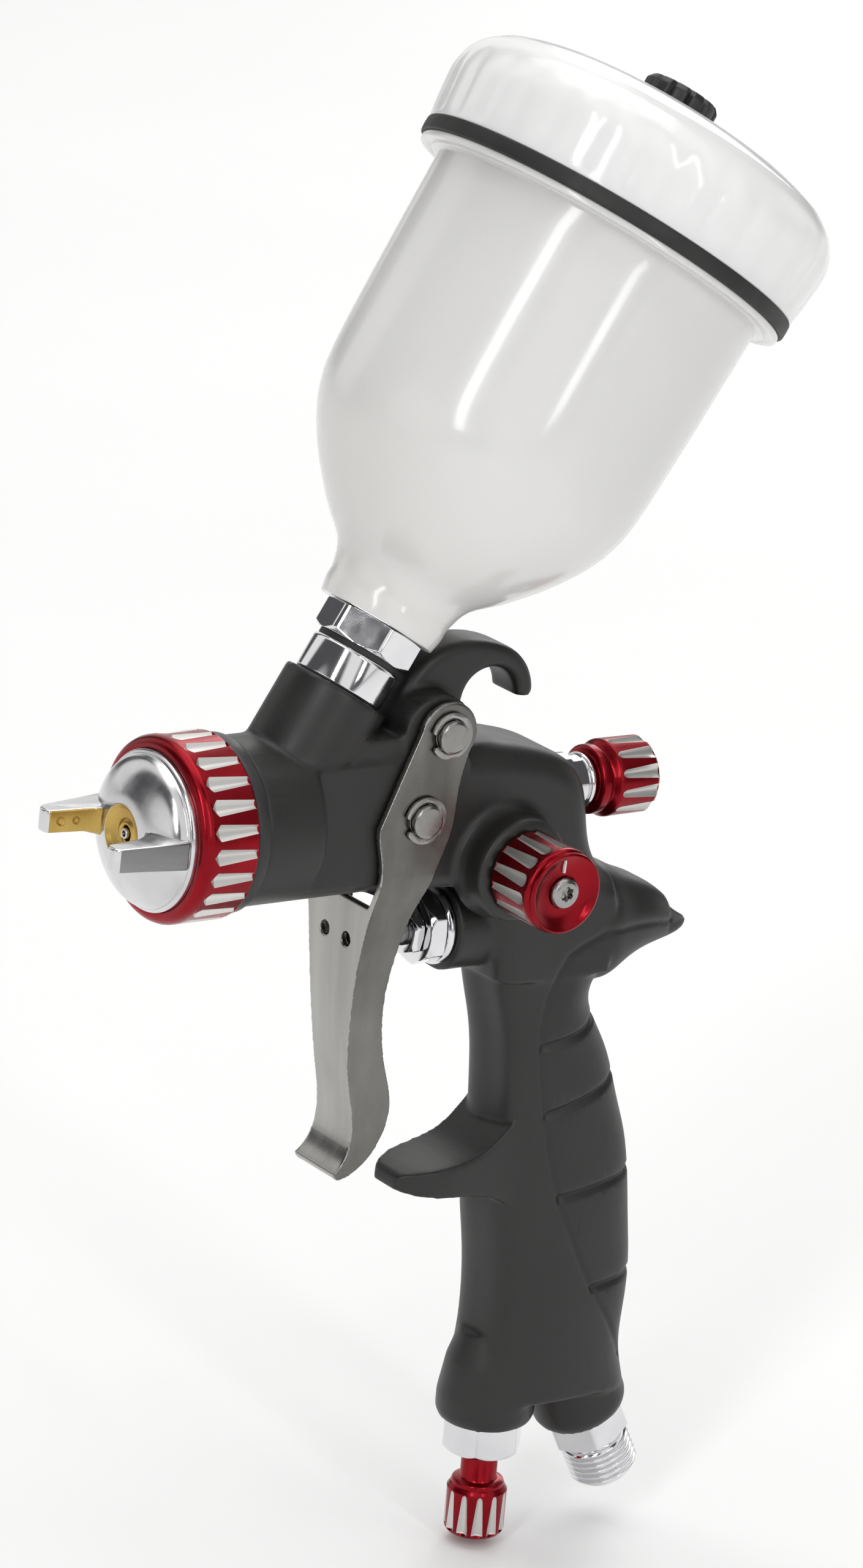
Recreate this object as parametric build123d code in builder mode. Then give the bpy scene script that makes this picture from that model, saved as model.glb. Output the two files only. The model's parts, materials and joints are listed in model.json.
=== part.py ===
"""A small gravity-feed spray gun with a plastic paint cup, built piece by piece.

Millimetres, +Z up.  The origin is the middle of the air inlet's open end.  The spray leaves
towards -X, the barrel runs along X, and the gun's left side faces -Y.  Most pieces are drawn in
barrel coordinates: x along the barrel, z up from its axis, both measured from the barrel datum.
"""
import os
from math import cos, radians, sin

from build123d import *

os.makedirs("parts", exist_ok=True)

# ---- where things are -------------------------------------------------------------------------
barrel_from_inlet = (-72.7, 138.6)   # x and z of the barrel datum, seen from the air inlet
cup_tilt = 30.7                      # the cup leans back from upright, degrees
cup_foot_x = -22.4                   # where the cup's axis meets the barrel's axis
pivot_at = (7.6, 15.8)               # trigger pivot, barrel coordinates
drive_at = (3.9, 0.7)                # where the trigger pushes the needle
valve_z = -24.3                      # air valve axis below the barrel's
fan_at = (24.0, -9.6)                # fan control axis
regulator_at = (42.6, -135.3)        # top of the regulator knob
regulator_tilt = 1.5
inlet_tilt = 28.8                    # the inlet leans back from straight down

# ---- fits -------------------------------------------------------------------------------------
running = 0.05                       # radial clearance of a turning or sliding fit
apart = 0.3                          # air between separate moving bodies

# ---- body -------------------------------------------------------------------------------------
barrel_r = 15.0
barrel_front = -31.0
spigot_r = 13.4
spigot_front = -39.0
flat_half = 10.0                     # half width over the barrel's flat sides
socket_r = 9.8
socket_rim = 25.9                    # along the cup's axis, from the barrel's axis
boss_front = 18.0                    # front of the air valve's boss
boss_half = 8.2                      # radius of the air valve's boss

# ---- bores of the body --------------------------------------------------------------------------
nozzle_bore = 5.0
paint_bore = 3.0
packing_head = 4.4
spring_bore = 5.5
air_bore = 3.0
valve_bore = 5.5
valve_bore_end = 48.0

# ---- cup and lid, along the cup's axis --------------------------------------------------------
collar_r = 8.3
collar_top = 32.9
gasket_top = 33.8
adapter_hex = 16.4                   # across the flats
adapter_top = 39.4
stud_r = 5.9
stud_top = 46.0
cup_wall = 1.8
cup_ledge = 116.0
band_foot = 117.2
band_top = 120.0
band_r = 36.4
rim_r = 33.6
cup_rim = 128.6
vent_r = 7.0

# ---- nose ---------------------------------------------------------------------------------------
ring_rear = -33.9
ring_front = -45.3
ring_r = 16.4
cap_r = 14.2
nozzle_tip = -51.0
nozzle_hole = 0.5                    # the nozzle's opening, 1 mm across
needle_r = 1.0

# ---- controls -----------------------------------------------------------------------------------
fan_base = 16.8                      # distance from the barrel's mid plane
fan_face = 28.7
fan_r = 8.0
bushing_r = 6.4
fluid_front = 47.6
fluid_rear = 60.6
fluid_r = 7.1
sleeve_r = 4.8
sleeve_rear = 47.4
stop_r = 2.6
stem_r = 2.8
pin_r = 3.05
cheek_in = 10.4                      # inside of the trigger's cheeks
sheet = 1.4                          # trigger sheet thickness
knob_flutes = 12
fan_flutes = 14
ring_flutes = 24

# ---- handle foot ----------------------------------------------------------------------------------
inlet_r = 6.58                       # outside of a G 1/4 thread
inlet_thread = 8.8
inlet_boss = 15.8                    # from the thread's end to the boss face
regulator_boss = 12.2                # from the knob's top to the boss face
regulator_stem = 3.4


def at(x, z, y=0.0):
    """A point given in barrel coordinates."""
    return (barrel_from_inlet[0] + x, y, barrel_from_inlet[1] + z)


def leaning(origin, tilt):
    """A plane whose Y axis leans back from upright by the tilt, and whose X axis is radial."""
    lean = radians(tilt)
    return Plane(origin=origin, x_dir=(cos(lean), 0, -sin(lean)), z_dir=(0, -1, 0))


side = leaning(at(0, 0), 0)
spray = Plane(origin=at(0, 0), x_dir=(0, 0, 1), z_dir=(0, 1, 0))
valve = Plane(origin=at(0, valve_z), x_dir=(0, 0, 1), z_dir=(0, 1, 0))
cup_axis = leaning(at(cup_foot_x, 0), cup_tilt)
fan = Plane(origin=at(*fan_at), x_dir=(0, 0, 1), z_dir=(1, 0, 0))
pivot = Plane(origin=at(*pivot_at), x_dir=(0, 0, 1), z_dir=(1, 0, 0))
drive = Plane(origin=at(*drive_at), x_dir=(0, 0, 1), z_dir=(1, 0, 0))
regulator = leaning(at(*regulator_at), -regulator_tilt)
inlet = leaning((0, 0, 0), -inlet_tilt)


def along(plane):
    """The plane's Y axis, which every turned piece on it is turned about."""
    return Axis(plane.origin, plane.y_dir)


def across(plane, distance):
    """The plane square to the turning axis, at a distance along it."""
    return Plane(origin=plane.from_local_coords((0, distance, 0)), x_dir=plane.x_dir,
                 z_dir=plane.y_dir)


def outline(plane, *points):
    """A closed face with straight sides."""
    with BuildSketch(plane) as face:
        with BuildLine():
            Polyline(*points, close=True)
        make_face()
    return face.sketch


def curved_outline(plane, *stretches):
    """A closed face whose stretches are lines (two points) or smooth curves (more points)."""
    with BuildSketch(plane) as face:
        with BuildLine():
            for stretch in stretches:
                if len(stretch) == 2:
                    Line(*stretch)
                else:
                    Spline(*stretch)
        make_face()
    return face.sketch


def turned(plane, *points, mode=Mode.ADD):
    """Turn a closed outline (radius, distance) about the plane's Y axis, in the open part."""
    revolve(outline(plane, *points), axis=along(plane), mode=mode)


def rod(plane, radius, low, high, mode=Mode.ADD, inside=0.0):
    """A rod, or a tube when it has an inside radius."""
    turned(plane, (inside, low), (radius, low), (radius, high), (inside, high), mode=mode)


def hexagon(plane, low, high, across_flats):
    """A hexagonal prism on the turning axis."""
    with BuildSketch(across(plane, low)) as face:
        RegularPolygon(across_flats / 2, 6, major_radius=False)
    extrude(face.sketch, amount=high - low)


def flute_cutter(plane, floor, open_at, closed_at, open_width, closed_width):
    """A tapering slot cutter, open at one end and pointed at the other; its floor is at a radius."""
    tangent = Plane(origin=plane.from_local_coords((floor, 0, 0)), x_dir=plane.z_dir,
                    z_dir=plane.x_dir)
    toward = 1 if tangent.y_dir.dot(plane.y_dir) > 0 else -1
    half_open = open_width / 2
    half_closed = closed_width / 2
    point = closed_at + (half_closed if closed_at > open_at else -half_closed)
    face = outline(tangent, (-half_open, toward * open_at), (half_open, toward * open_at),
                   (half_closed, toward * closed_at), (0, toward * point),
                   (-half_closed, toward * closed_at))
    return extrude(face, amount=5, mode=Mode.PRIVATE)


def cut_flutes(cutter, plane, count):
    """Cut the same flute all round the open part."""
    for step in range(count):
        add(cutter.rotate(along(plane), 360 * step / count), mode=Mode.SUBTRACT)


def coil(plane, radius, wire, low, high, turns):
    """A compression spring with its axis along the plane's Y axis."""
    length = high - low - 2 * wire
    with BuildPart() as spring:
        with BuildLine():
            path = Helix(pitch=length / turns, height=length, radius=radius)
        with BuildSketch(Plane(origin=path @ 0, z_dir=path % 0)):
            Circle(wire)
        sweep(path=path, is_frenet=True)
    return spring.part.moved(across(plane, low + wire).location)


# ================================ body =========================================================
top_line = [(-2.0, 11.9), (6.0, 11.9), (14.0, 11.85), (23.0, 11.4), (30.0, 10.1), (36.8, 7.8), (41.2, 4.4),
            (43.2, 0.0), (44.5, -6.0), (46.6, -11.6), (51.0, -15.4)]
arch_line = [(27.2, -34.0), (26.4, -28.7), (24.5, -21.8), (20.4, -16.2), (14.0, -14.4), (6.0, -14.4),
             (-2.0, -14.4)]
# height, front, back, half width of the front face, and how far that face's edges are set back
grip_sections = [(-29.0, 27.4, 56.0, 6.4, 1.3), (-36.0, 28.9, 53.4, 6.4, 1.3), (-41.0, 30.4, 52.9, 6.4, 1.3),
                 (-47.0, 32.0, 56.0, 6.4, 1.3), (-54.5, 33.1, 59.8, 6.4, 1.3), (-62.0, 33.7, 62.6, 6.5, 1.5),
                 (-71.0, 34.0, 65.7, 6.7, 1.8), (-81.0, 34.2, 67.6, 6.8, 2.0), (-91.0, 36.0, 69.2, 6.8, 2.0),
                 (-101.0, 36.9, 69.7, 6.8, 2.0), (-109.0, 36.6, 69.5, 7.0, 2.2),
                 (-114.0, 35.6, 70.4, 7.0, 2.2), (-118.0, 34.4, 71.6, 7.0, 2.4)]
grip_round = 12.0                    # length of the grip's rounded back
# distance along x, underside, top and half width of the hand rest over the thumb
rest_sections = [(49.0, -36.0, -15.7, 9.9), (56.0, -36.4, -17.0, 9.4), (61.0, -33.2, -19.0, 8.4),
                 (66.0, -31.6, -21.9, 7.0), (70.0, -30.6, -25.0, 5.4), (73.0, -29.6, -26.8, 3.8),
                 (74.4, -29.2, -27.6, 2.2)]
guard_top = [(40.0, -56.0), (34.2, -63.0), (29.0, -67.0), (20.0, -69.2), (13.4, -70.4)]
guard_under = [(13.0, -73.2), (20.0, -74.6), (30.0, -75.4), (40.0, -83.0)]
hook_outer = [(0.0, 17.0), (4.0, 24.5), (9.0, 28.4), (15.0, 29.9), (21.5, 29.2), (27.5, 26.4),
              (30.4, 22.4), (31.0, 19.0)]
hook_inner = [(27.4, 18.6), (26.4, 21.8), (23.4, 24.1), (20.0, 24.3), (16.8, 22.4), (15.4, 18.5),
              (16.5, 11.0)]
hook_half = 4.6
guard_half = 8.6
ledge_half = 9.6                     # half width of the ledge in front of the pivot
pivot_boss_at = (6.6, 15.4)
pivot_boss_r = 7.2


def grip_section(height, front, back, face_half, setback):
    """A level section of the grip: a narrow front face, flat sides and a rounded back."""
    level = Plane(origin=at(0, height), x_dir=(1, 0, 0), z_dir=(0, 0, 1))
    flank = [(front + setback, face_half), (front + 9, flat_half - 0.4), (back - grip_round, flat_half),
             (back - grip_round * 0.37, flat_half * 0.78)]
    other_flank = [(x, -y) for x, y in reversed(flank)]
    with BuildSketch(level) as section:
        with BuildLine():
            Spline((front, 0), *flank, (back, 0), *other_flank, periodic=True)
        make_face()
    return section.sketch


def rest_section(distance, low, high, half):
    """An upright section of the hand rest."""
    upright = Plane(origin=at(distance, (low + high) / 2), x_dir=(0, 1, 0), z_dir=(1, 0, 0))
    with BuildSketch(upright) as section:
        RectangleRounded(2 * half, high - low, 0.47 * min(2 * half, high - low))
    return section.sketch


with BuildPart() as hook:
    extrude(curved_outline(side, hook_outer, (hook_outer[-1], hook_inner[0]), hook_inner,
                           (hook_inner[-1], (0, 11)), ((0, 11), hook_outer[0])),
            amount=hook_half, both=True)
    fillet(hook.edges().filter_by(lambda e: e.center().Z > at(0, 22)[2]
                                  and abs(abs(e.center().Y) - hook_half) < 0.01), radius=1.6)

with BuildPart() as guard:
    extrude(curved_outline(side, guard_top, (guard_top[-1], guard_under[0]), guard_under,
                           (guard_under[-1], guard_top[0])), amount=guard_half, both=True)
    nose = Plane(origin=at(0, -90), x_dir=(1, 0, 0), z_dir=(0, 0, 1))
    with BuildSketch(nose) as plan:
        with BuildLine():
            Spline((40, guard_half), (27, 7.6), (15.5, 5.2), (11.6, 0), (15.5, -5.2), (27, -7.6),
                   (40, -guard_half))
            Line((40, -guard_half), (40, guard_half))
        make_face()
    extrude(plan.sketch, amount=60, mode=Mode.INTERSECT)

with BuildPart() as grip:
    loft([grip_section(*row) for row in grip_sections])

with BuildPart() as hand_rest:
    loft([rest_section(*row) for row in rest_sections])

with BuildPart() as upper_body:
    extrude(curved_outline(side, top_line, (top_line[-1], (51, -34)), ((51, -34), arch_line[0]), arch_line,
                           (arch_line[-1], top_line[0])),
            amount=flat_half, both=True)
    rims = upper_body.edges().filter_by(lambda e: abs(abs(e.center().Y) - flat_half) < 0.01)
    rims = rims.filter_by(lambda e: e.length > 30)
    fillet(rims.sort_by(Axis.Z)[-2:], radius=5.0)
    rims = upper_body.edges().filter_by(lambda e: abs(abs(e.center().Y) - flat_half) < 0.01)
    fillet(rims.filter_by(lambda e: e.length > 30).sort_by(Axis.Z)[:2], radius=3.5)

with BuildPart() as gun_body:
    add(upper_body.part)
    add(hand_rest.part)
    add(grip.part)
    # barrel, with flat sides from the trigger back
    rod(spray, barrel_r, barrel_front, 14)
    rod(spray, spigot_r, spigot_front, barrel_front)
    for way in (1, -1):
        with BuildSketch(side.offset(way * flat_half)) as flat:
            with Locations((1.5, 0)):
                RectangleRounded(40, 40, 6)
        extrude(flat.sketch, amount=way * 8, mode=Mode.SUBTRACT)
    # cup socket, hook, pivot boss and the ledge in front of it
    rod(cup_axis, socket_r, 0, socket_rim)
    add(hook.part)
    rod(Plane(origin=at(*pivot_boss_at), x_dir=(0, 0, 1), z_dir=(1, 0, 0)), pivot_boss_r, -flat_half,
        flat_half)
    extrude(outline(side, (-12.6, 10), (-8.4, 15.4), (6, 15.4), (6, 10)), amount=ledge_half, both=True)
    # fan control boss on the left side
    turned(fan, (0, 0), (7.5, 0), (7.5, 9), (10.6, 9), (10.6, 10.4), (9.8, 12.2), (9.5, 15.8),
           (8.9, fan_base - 0.4), (0, fan_base - 0.4))
    # air valve boss
    rod(valve, boss_half, boss_front, 34)
    add(guard.part)
    # regulator and inlet bosses at the foot
    turned(regulator, (0, 30), (6.0, 30), (8.0, 24), (9.2, 17), (9.2, 13.8), (8.4, regulator_boss),
           (0, regulator_boss))
    turned(inlet, (0, 36), (7.0, 36), (8.6, 26), (9.0, 19), (9.0, 17.4), (8.3, inlet_boss), (0, inlet_boss))
    # needle passage: nozzle seat, paint passage, drive slot, spring chamber
    rod(spray, nozzle_bore, spigot_front, -26, mode=Mode.SUBTRACT)
    rod(spray, paint_bore, -26, -4, mode=Mode.SUBTRACT)
    rod(spray, packing_head, -4, 0, mode=Mode.SUBTRACT)
    rod(spray, 6.2, -0.5, 13, mode=Mode.SUBTRACT)
    rod(spray, spring_bore, 13, 43, mode=Mode.SUBTRACT)
    rod(spray, sleeve_r + running, 43, 47, mode=Mode.SUBTRACT)
    with BuildSketch(side) as slot:
        with Locations((drive_at[0] + 1.4, drive_at[1] - 0.2)):
            SlotOverall(11.2, 7.8)
    extrude(slot.sketch, amount=flat_half + 1, both=True, mode=Mode.SUBTRACT)
    # air chamber round the nozzle seat
    rod(spray, 11.2, spigot_front, -33, mode=Mode.SUBTRACT, inside=7.0)
    # paint passage up to the cup socket
    rod(cup_axis, paint_bore, 0, 17, mode=Mode.SUBTRACT)
    rod(cup_axis, 5.5, 16, socket_rim, mode=Mode.SUBTRACT)
    # pivot pin, fan control, air valve, regulator and inlet bores
    rod(pivot, pin_r, -20, 20, mode=Mode.SUBTRACT)
    rod(fan, 4.5, 7.6, 20, mode=Mode.SUBTRACT)
    rod(fan, bushing_r + running, 14.2, 20, mode=Mode.SUBTRACT)
    rod(valve, valve_bore, boss_front, valve_bore_end, mode=Mode.SUBTRACT)
    rod(regulator, 5.0, regulator_boss, 22.5, mode=Mode.SUBTRACT)
    rod(regulator, 3.4, 22.5, 29, mode=Mode.SUBTRACT)
    rod(inlet, 5.5, inlet_boss, 32, mode=Mode.SUBTRACT)
    # the air's way up the grip and on to the valve
    with BuildLine() as air_way:
        Polyline(inlet.from_local_coords((0, 30)), at(54, -108), at(43, valve_z))
        Line(regulator.from_local_coords((0, 27)), at(53, -100))
    for leg in air_way.edges():
        with BuildSketch(Plane(origin=leg @ 0, z_dir=leg % 0)) as hole:
            Circle(air_bore)
        extrude(hole.sketch, amount=leg.length, mode=Mode.SUBTRACT)
gun_body.part.label = "gun_body"
export_step(gun_body.part, "parts/gun_body.step")


# ================================ cup and lid ==================================================
with BuildPart() as socket_collar:
    rod(cup_axis, collar_r, socket_rim, collar_top, inside=4.2)
    rod(cup_axis, 5.5, socket_rim - 8, socket_rim, inside=4.2)
socket_collar.part.label = "socket_collar"
export_step(socket_collar.part, "parts/socket_collar.step")

with BuildPart() as adapter_gasket:
    rod(cup_axis, collar_r - 0.6, collar_top, gasket_top, inside=4.2)
adapter_gasket.part.label = "adapter_gasket"
export_step(adapter_gasket.part, "parts/adapter_gasket.step")

with BuildPart() as cup_adapter:
    hexagon(cup_axis, gasket_top, adapter_top, adapter_hex)
    rod(cup_axis, stud_r, adapter_top, stud_top)
    rod(cup_axis, 4.2 - running, socket_rim - 6, gasket_top)
    rod(cup_axis, paint_bore, 0, stud_top + 1, mode=Mode.SUBTRACT)
cup_adapter.part.label = "cup_adapter"
export_step(cup_adapter.part, "parts/cup_adapter.step")

# radius and distance up the cup's axis, outside wall from the neck to the ledge
cup_wall_line = [(11.0, adapter_top), (11.3, 44.5), (13.2, 48.8), (17.6, 53.0), (23.0, 59.2),
                 (27.2, 65.6), (29.6, 71.5), (30.5, 78.0), (31.2, 92.0), (31.8, cup_ledge)]
cup_floor = stud_top + 2.4

with BuildPart() as cup:
    with BuildSketch(cup_axis):
        with BuildLine():
            Polyline((stud_r, adapter_top), cup_wall_line[0], cup_wall_line[1])
            Spline(*cup_wall_line[1:])
            Polyline(cup_wall_line[-1], (35.7, cup_ledge), (35.7, band_foot), (rim_r, band_foot),
                     (rim_r, cup_rim), (rim_r - cup_wall, cup_rim), (rim_r - cup_wall, cup_ledge + 1.2),
                     (31.8 - cup_wall, cup_ledge - 2))
            Spline((31.8 - cup_wall, cup_ledge - 2), (31.2 - cup_wall, 92.0), (30.4 - cup_wall, 78.5),
                   (29.4 - cup_wall, 73.0), (26.6 - cup_wall, 67.0), (21.6 - cup_wall, 60.4),
                   (15.4 - cup_wall, 53.8), (10.2, cup_floor))
            Polyline((10.2, cup_floor), (paint_bore + 0.6, cup_floor), (paint_bore + 0.6, stud_top),
                     (stud_r, stud_top), (stud_r, adapter_top))
        make_face()
    revolve(axis=along(cup_axis))
cup.part.label = "cup"
export_step(cup.part, "parts/cup.step")

with BuildPart() as paint_filter:
    rod(cup_axis, paint_bore + 0.6, stud_top, cup_floor, inside=paint_bore - 0.4)
    rod(cup_axis, 6.4, cup_floor, cup_floor + 1, inside=paint_bore - 0.4)
    rod(cup_axis, paint_bore + 0.4, cup_floor + 1, cup_floor + 12, inside=paint_bore - 0.4)
paint_filter.part.label = "paint_filter"
export_step(paint_filter.part, "parts/paint_filter.step")

skirt_r = rim_r + apart
with BuildPart() as lid_band:
    rod(cup_axis, band_r, band_foot, band_top, inside=skirt_r)
lid_band.part.label = "lid_band"
export_step(lid_band.part, "parts/lid_band.step")

with BuildPart() as lid_gasket:
    rod(cup_axis, rim_r - 0.2, cup_rim + 0.05, cup_rim + 1.4, inside=rim_r - cup_wall)
lid_gasket.part.label = "lid_gasket"
export_step(lid_gasket.part, "parts/lid_gasket.step")

vent_hole = 3.0
with BuildPart() as lid:
    with BuildSketch(cup_axis):
        with BuildLine():
            Polyline((skirt_r, band_top), (band_r, band_top), (36.9, 125.0))
            Spline((36.9, 125.0), (37.3, 129.6), (36.4, 133.2), (34.2, 136.6), (31.2, 138.6))
            Spline((31.2, 138.6), (25.0, 140.6), (14.5, 142.3), (vent_hole, 142.7))
            Polyline((vent_hole, 142.7), (vent_hole, 140.4), (14.5, 140.0), (25.0, 138.4), (30.6, 136.2),
                     (rim_r - 0.2, cup_rim + 1.4), (rim_r - 0.2, cup_rim + 0.6), (skirt_r, cup_rim + 0.6),
                     (skirt_r, band_top))
        make_face()
    revolve(axis=along(cup_axis))
lid.part.label = "lid"
export_step(lid.part, "parts/lid.step")

vent_seat = 142.8
with BuildPart() as vent_cap:
    turned(cup_axis, (0, 137), (vent_hole - running, 137), (vent_hole - running, vent_seat),
           (vent_r, vent_seat), (vent_r, vent_seat + 3.0), (vent_r - 0.8, vent_seat + 3.8),
           (0, vent_seat + 3.8))
    notch = flute_cutter(cup_axis, vent_r - 0.7, vent_seat - 0.5, vent_seat + 6, 2.2, 2.2)
    cut_flutes(notch, cup_axis, 12)
vent_cap.part.label = "vent_cap"
export_step(vent_cap.part, "parts/vent_cap.step")

# ================================ nose =========================================================
with BuildPart() as head_ring:
    rod(spray, 15.8, ring_rear + 0.1, barrel_front, inside=spigot_r)
head_ring.part.label = "head_ring"
export_step(head_ring.part, "parts/head_ring.step")

with BuildPart() as air_distributor:
    rod(spray, 11.8, spigot_front - 1.6, spigot_front, inside=5.6)
    rod(spray, 11.1, spigot_front, spigot_front + 3, inside=9.6)
    hole_ring = across(spray, spigot_front - 2)
    with BuildSketch(hole_ring) as air_holes:
        with PolarLocations(8.2, 10):
            Circle(1.0)
    extrude(air_holes.sketch, amount=3, mode=Mode.SUBTRACT)
air_distributor.part.label = "air_distributor"
export_step(air_distributor.part, "parts/air_distributor.step")

with BuildPart() as nozzle_gasket:
    rod(spray, 5.5, spigot_front - 1.6, spigot_front, inside=3.6)
nozzle_gasket.part.label = "nozzle_gasket"
export_step(nozzle_gasket.part, "parts/nozzle_gasket.step")

nozzle_flange = spigot_front - 1.6
with BuildPart() as fluid_nozzle:
    turned(spray, (0, -27), (4.9, -27), (4.9, -38.9), (3.6, -38.9), (3.6, nozzle_flange),
           (6.4, nozzle_flange), (6.4, -43.6), (4.2, -44.2), (2.1, -48.0), (0.95, -49.2),
           (0.95, nozzle_tip), (0, nozzle_tip))
    turned(spray, (0, -26), (2.6, -26), (2.6, -45.5), (nozzle_hole, -49.8), (nozzle_hole, -53),
           (0, -53), mode=Mode.SUBTRACT)
fluid_nozzle.part.label = "fluid_nozzle"
export_step(fluid_nozzle.part, "parts/fluid_nozzle.step")

lip_r = cap_r + 0.08
with BuildPart() as air_cap_ring:
    turned(spray, (spigot_r + running, ring_rear), (ring_r - 0.3, ring_rear), (ring_r + 0.1, -34.6),
           (ring_r + 0.1, -44.4), (ring_r - 0.5, ring_front), (lip_r, ring_front), (lip_r, -44.0),
           (14.9, -44.0), (14.9, -39.2), (spigot_r + running, -39.2))
    cut_flutes(flute_cutter(spray, ring_r - 0.55, -33.0, -42.6, 1.5, 3.0), spray, ring_flutes)
air_cap_ring.part.label = "air_cap_ring"
export_step(air_cap_ring.part, "parts/air_cap_ring.step")

with BuildPart() as cap_snap_ring:
    rod(spray, 14.8, -41.4, -40.2, inside=13.8)
cap_snap_ring.part.label = "cap_snap_ring"
export_step(cap_snap_ring.part, "parts/cap_snap_ring.step")

cap_hole = 1.35
horn_tip = -60.9
horn_half = 2.4
horn_holes = (-58.0, -55.1)
with BuildPart() as air_cap:
    turned(spray, (12.4, -41.5), (14.7, -41.5), (14.7, -43.9), (cap_r, -43.9), (cap_r, -46.9),
           (13.6, -47.9), (11.6, -49.4), (8.6, -50.7), (6.0, -51.4), (4.9, -51.5), (4.4, -50.8),
           (2.6, -50.2), (2.2, -50.5), (1.7, -50.6), (cap_hole, -50.3), (cap_hole, -49.0), (7.0, -47.6),
           (11.4, -46.0), (12.4, -45.0))
    horn_plane = Plane(origin=at(0, 0), x_dir=(1, 0, 0), z_dir=(0, 0, 1))
    for way in (1, -1):
        extrude(outline(horn_plane, (-46.4, way * 12.2), (-46.4, way * 14.0), (-53.0, way * 13.5),
                        (-60.0, way * 12.8), (horn_tip, way * 12.0), (horn_tip, way * 9.9),
                        (-60.3, way * 9.2), (-53.4, way * 8.4), (-50.8, way * 6.0), (-48.4, way * 6.6)),
                amount=horn_half, both=True)
        for place in horn_holes:
            with BuildSketch(Plane(origin=at(place, 0, way * 8.4), z_dir=(0, way, 0))) as jet:
                Circle(0.5)
            extrude(jet.sketch, amount=2, both=True, mode=Mode.SUBTRACT)
air_cap.part.label = "air_cap"
export_step(air_cap.part, "parts/air_cap.step")

# ================================ needle and fluid control =======================================
collar_face = drive_at[0] + pin_r + 0.1
with BuildPart() as fluid_needle:
    turned(spray, (0, -51.3), (0.15, -51.3), (nozzle_hole - running, -49.8), (needle_r, -48.0),
           (needle_r, 44), (0, 44))
fluid_needle.part.label = "fluid_needle"
export_step(fluid_needle.part, "parts/fluid_needle.step")

with BuildPart() as needle_collar:
    rod(spray, 5.6, collar_face, collar_face + 2.6, inside=needle_r)
    rod(spray, 3.0, collar_face + 2.6, collar_face + 7, inside=needle_r)
needle_collar.part.label = "needle_collar"
export_step(needle_collar.part, "parts/needle_collar.step")

with BuildPart() as needle_packing:
    rod(spray, paint_bore, -12, -8, inside=needle_r + running)
needle_packing.part.label = "needle_packing"
export_step(needle_packing.part, "parts/needle_packing.step")

with BuildPart() as packing_screw:
    rod(spray, paint_bore, -8, -4, inside=needle_r + 0.4)
    rod(spray, packing_head, -4, -1.6, inside=needle_r + 0.4)
packing_screw.part.label = "packing_screw"
export_step(packing_screw.part, "parts/packing_screw.step")

needle_spring = coil(spray, 3.9, 0.45, collar_face + 2.7, 33.0, 9)
needle_spring.label = "needle_spring"
export_step(needle_spring, "parts/needle_spring.step")

with BuildPart() as rear_sleeve:
    rod(spray, spring_bore, 33.0, 43.0, inside=stop_r + running)
    rod(spray, sleeve_r, 43.0, sleeve_rear - 1.2, inside=stop_r + running)
    turned(spray, (stop_r + running, sleeve_rear - 1.2), (sleeve_r, sleeve_rear - 1.2),
           (sleeve_r + 0.35, sleeve_rear - 0.9), (sleeve_r + 0.35, sleeve_rear - 0.3),
           (sleeve_r, sleeve_rear), (stop_r + running, sleeve_rear))
rear_sleeve.part.label = "rear_sleeve"
export_step(rear_sleeve.part, "parts/rear_sleeve.step")

with BuildPart() as fluid_stop:
    rod(spray, stop_r, 47.3, 53.0)
    rod(spray, stop_r, 37.0, 47.3, inside=needle_r + 0.3)
fluid_stop.part.label = "fluid_stop"
export_step(fluid_stop.part, "parts/fluid_stop.step")

with BuildPart() as fluid_knob:
    turned(spray, (stop_r + running, fluid_front), (5.6, fluid_front), (6.3, fluid_front + 0.8),
           (6.3, 49.6), (5.8, 50.2), (fluid_r, 51.4), (fluid_r, 59.4), (6.2, fluid_rear),
           (0, fluid_rear), (0, 53.1), (stop_r + running, 53.1))
    cut_flutes(flute_cutter(spray, fluid_r - 0.6, 62, 52.6, 2.6, 1.4), spray, knob_flutes)
fluid_knob.part.label = "fluid_knob"
export_step(fluid_knob.part, "parts/fluid_knob.step")

# ================================ fan control ====================================================
with BuildPart() as fan_bushing:
    rod(fan, 4.5, 8.0, 14.2, inside=2.0 + running)
    rod(fan, bushing_r, 14.2, fan_base - 0.2, inside=2.0 + running)
fan_bushing.part.label = "fan_bushing"
export_step(fan_bushing.part, "parts/fan_bushing.step")

with BuildPart() as fan_spindle:
    rod(fan, 2.0, 8.0, 24.0)
    turned(fan, (0, 7.7), (1.6, 7.7), (2.0, 8.0), (0, 8.0))
    rod(fan, 1.2, 20.0, 25.0, mode=Mode.SUBTRACT)
fan_spindle.part.label = "fan_spindle"
export_step(fan_spindle.part, "parts/fan_spindle.step")

with BuildPart() as fan_knob:
    turned(fan, (2.0, fan_base), (fan_r - 0.5, fan_base), (fan_r, fan_face - 1.6),
           (fan_r - 0.5, fan_face - 0.5), (fan_r - 1.3, fan_face), (fan_r - 1.9, fan_face),
           (fan_r - 2.3, fan_face - 0.4), (3.0, fan_face - 0.4), (3.0, 27.0), (1.2, 27.0),
           (1.2, 24.0), (2.0, 24.0))
    cut_flutes(flute_cutter(fan, fan_r - 0.75, fan_base - 1, fan_face - 3.4, 1.3, 2.4), fan, fan_flutes)
fan_knob.part.label = "fan_knob"
export_step(fan_knob.part, "parts/fan_knob.step")

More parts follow.
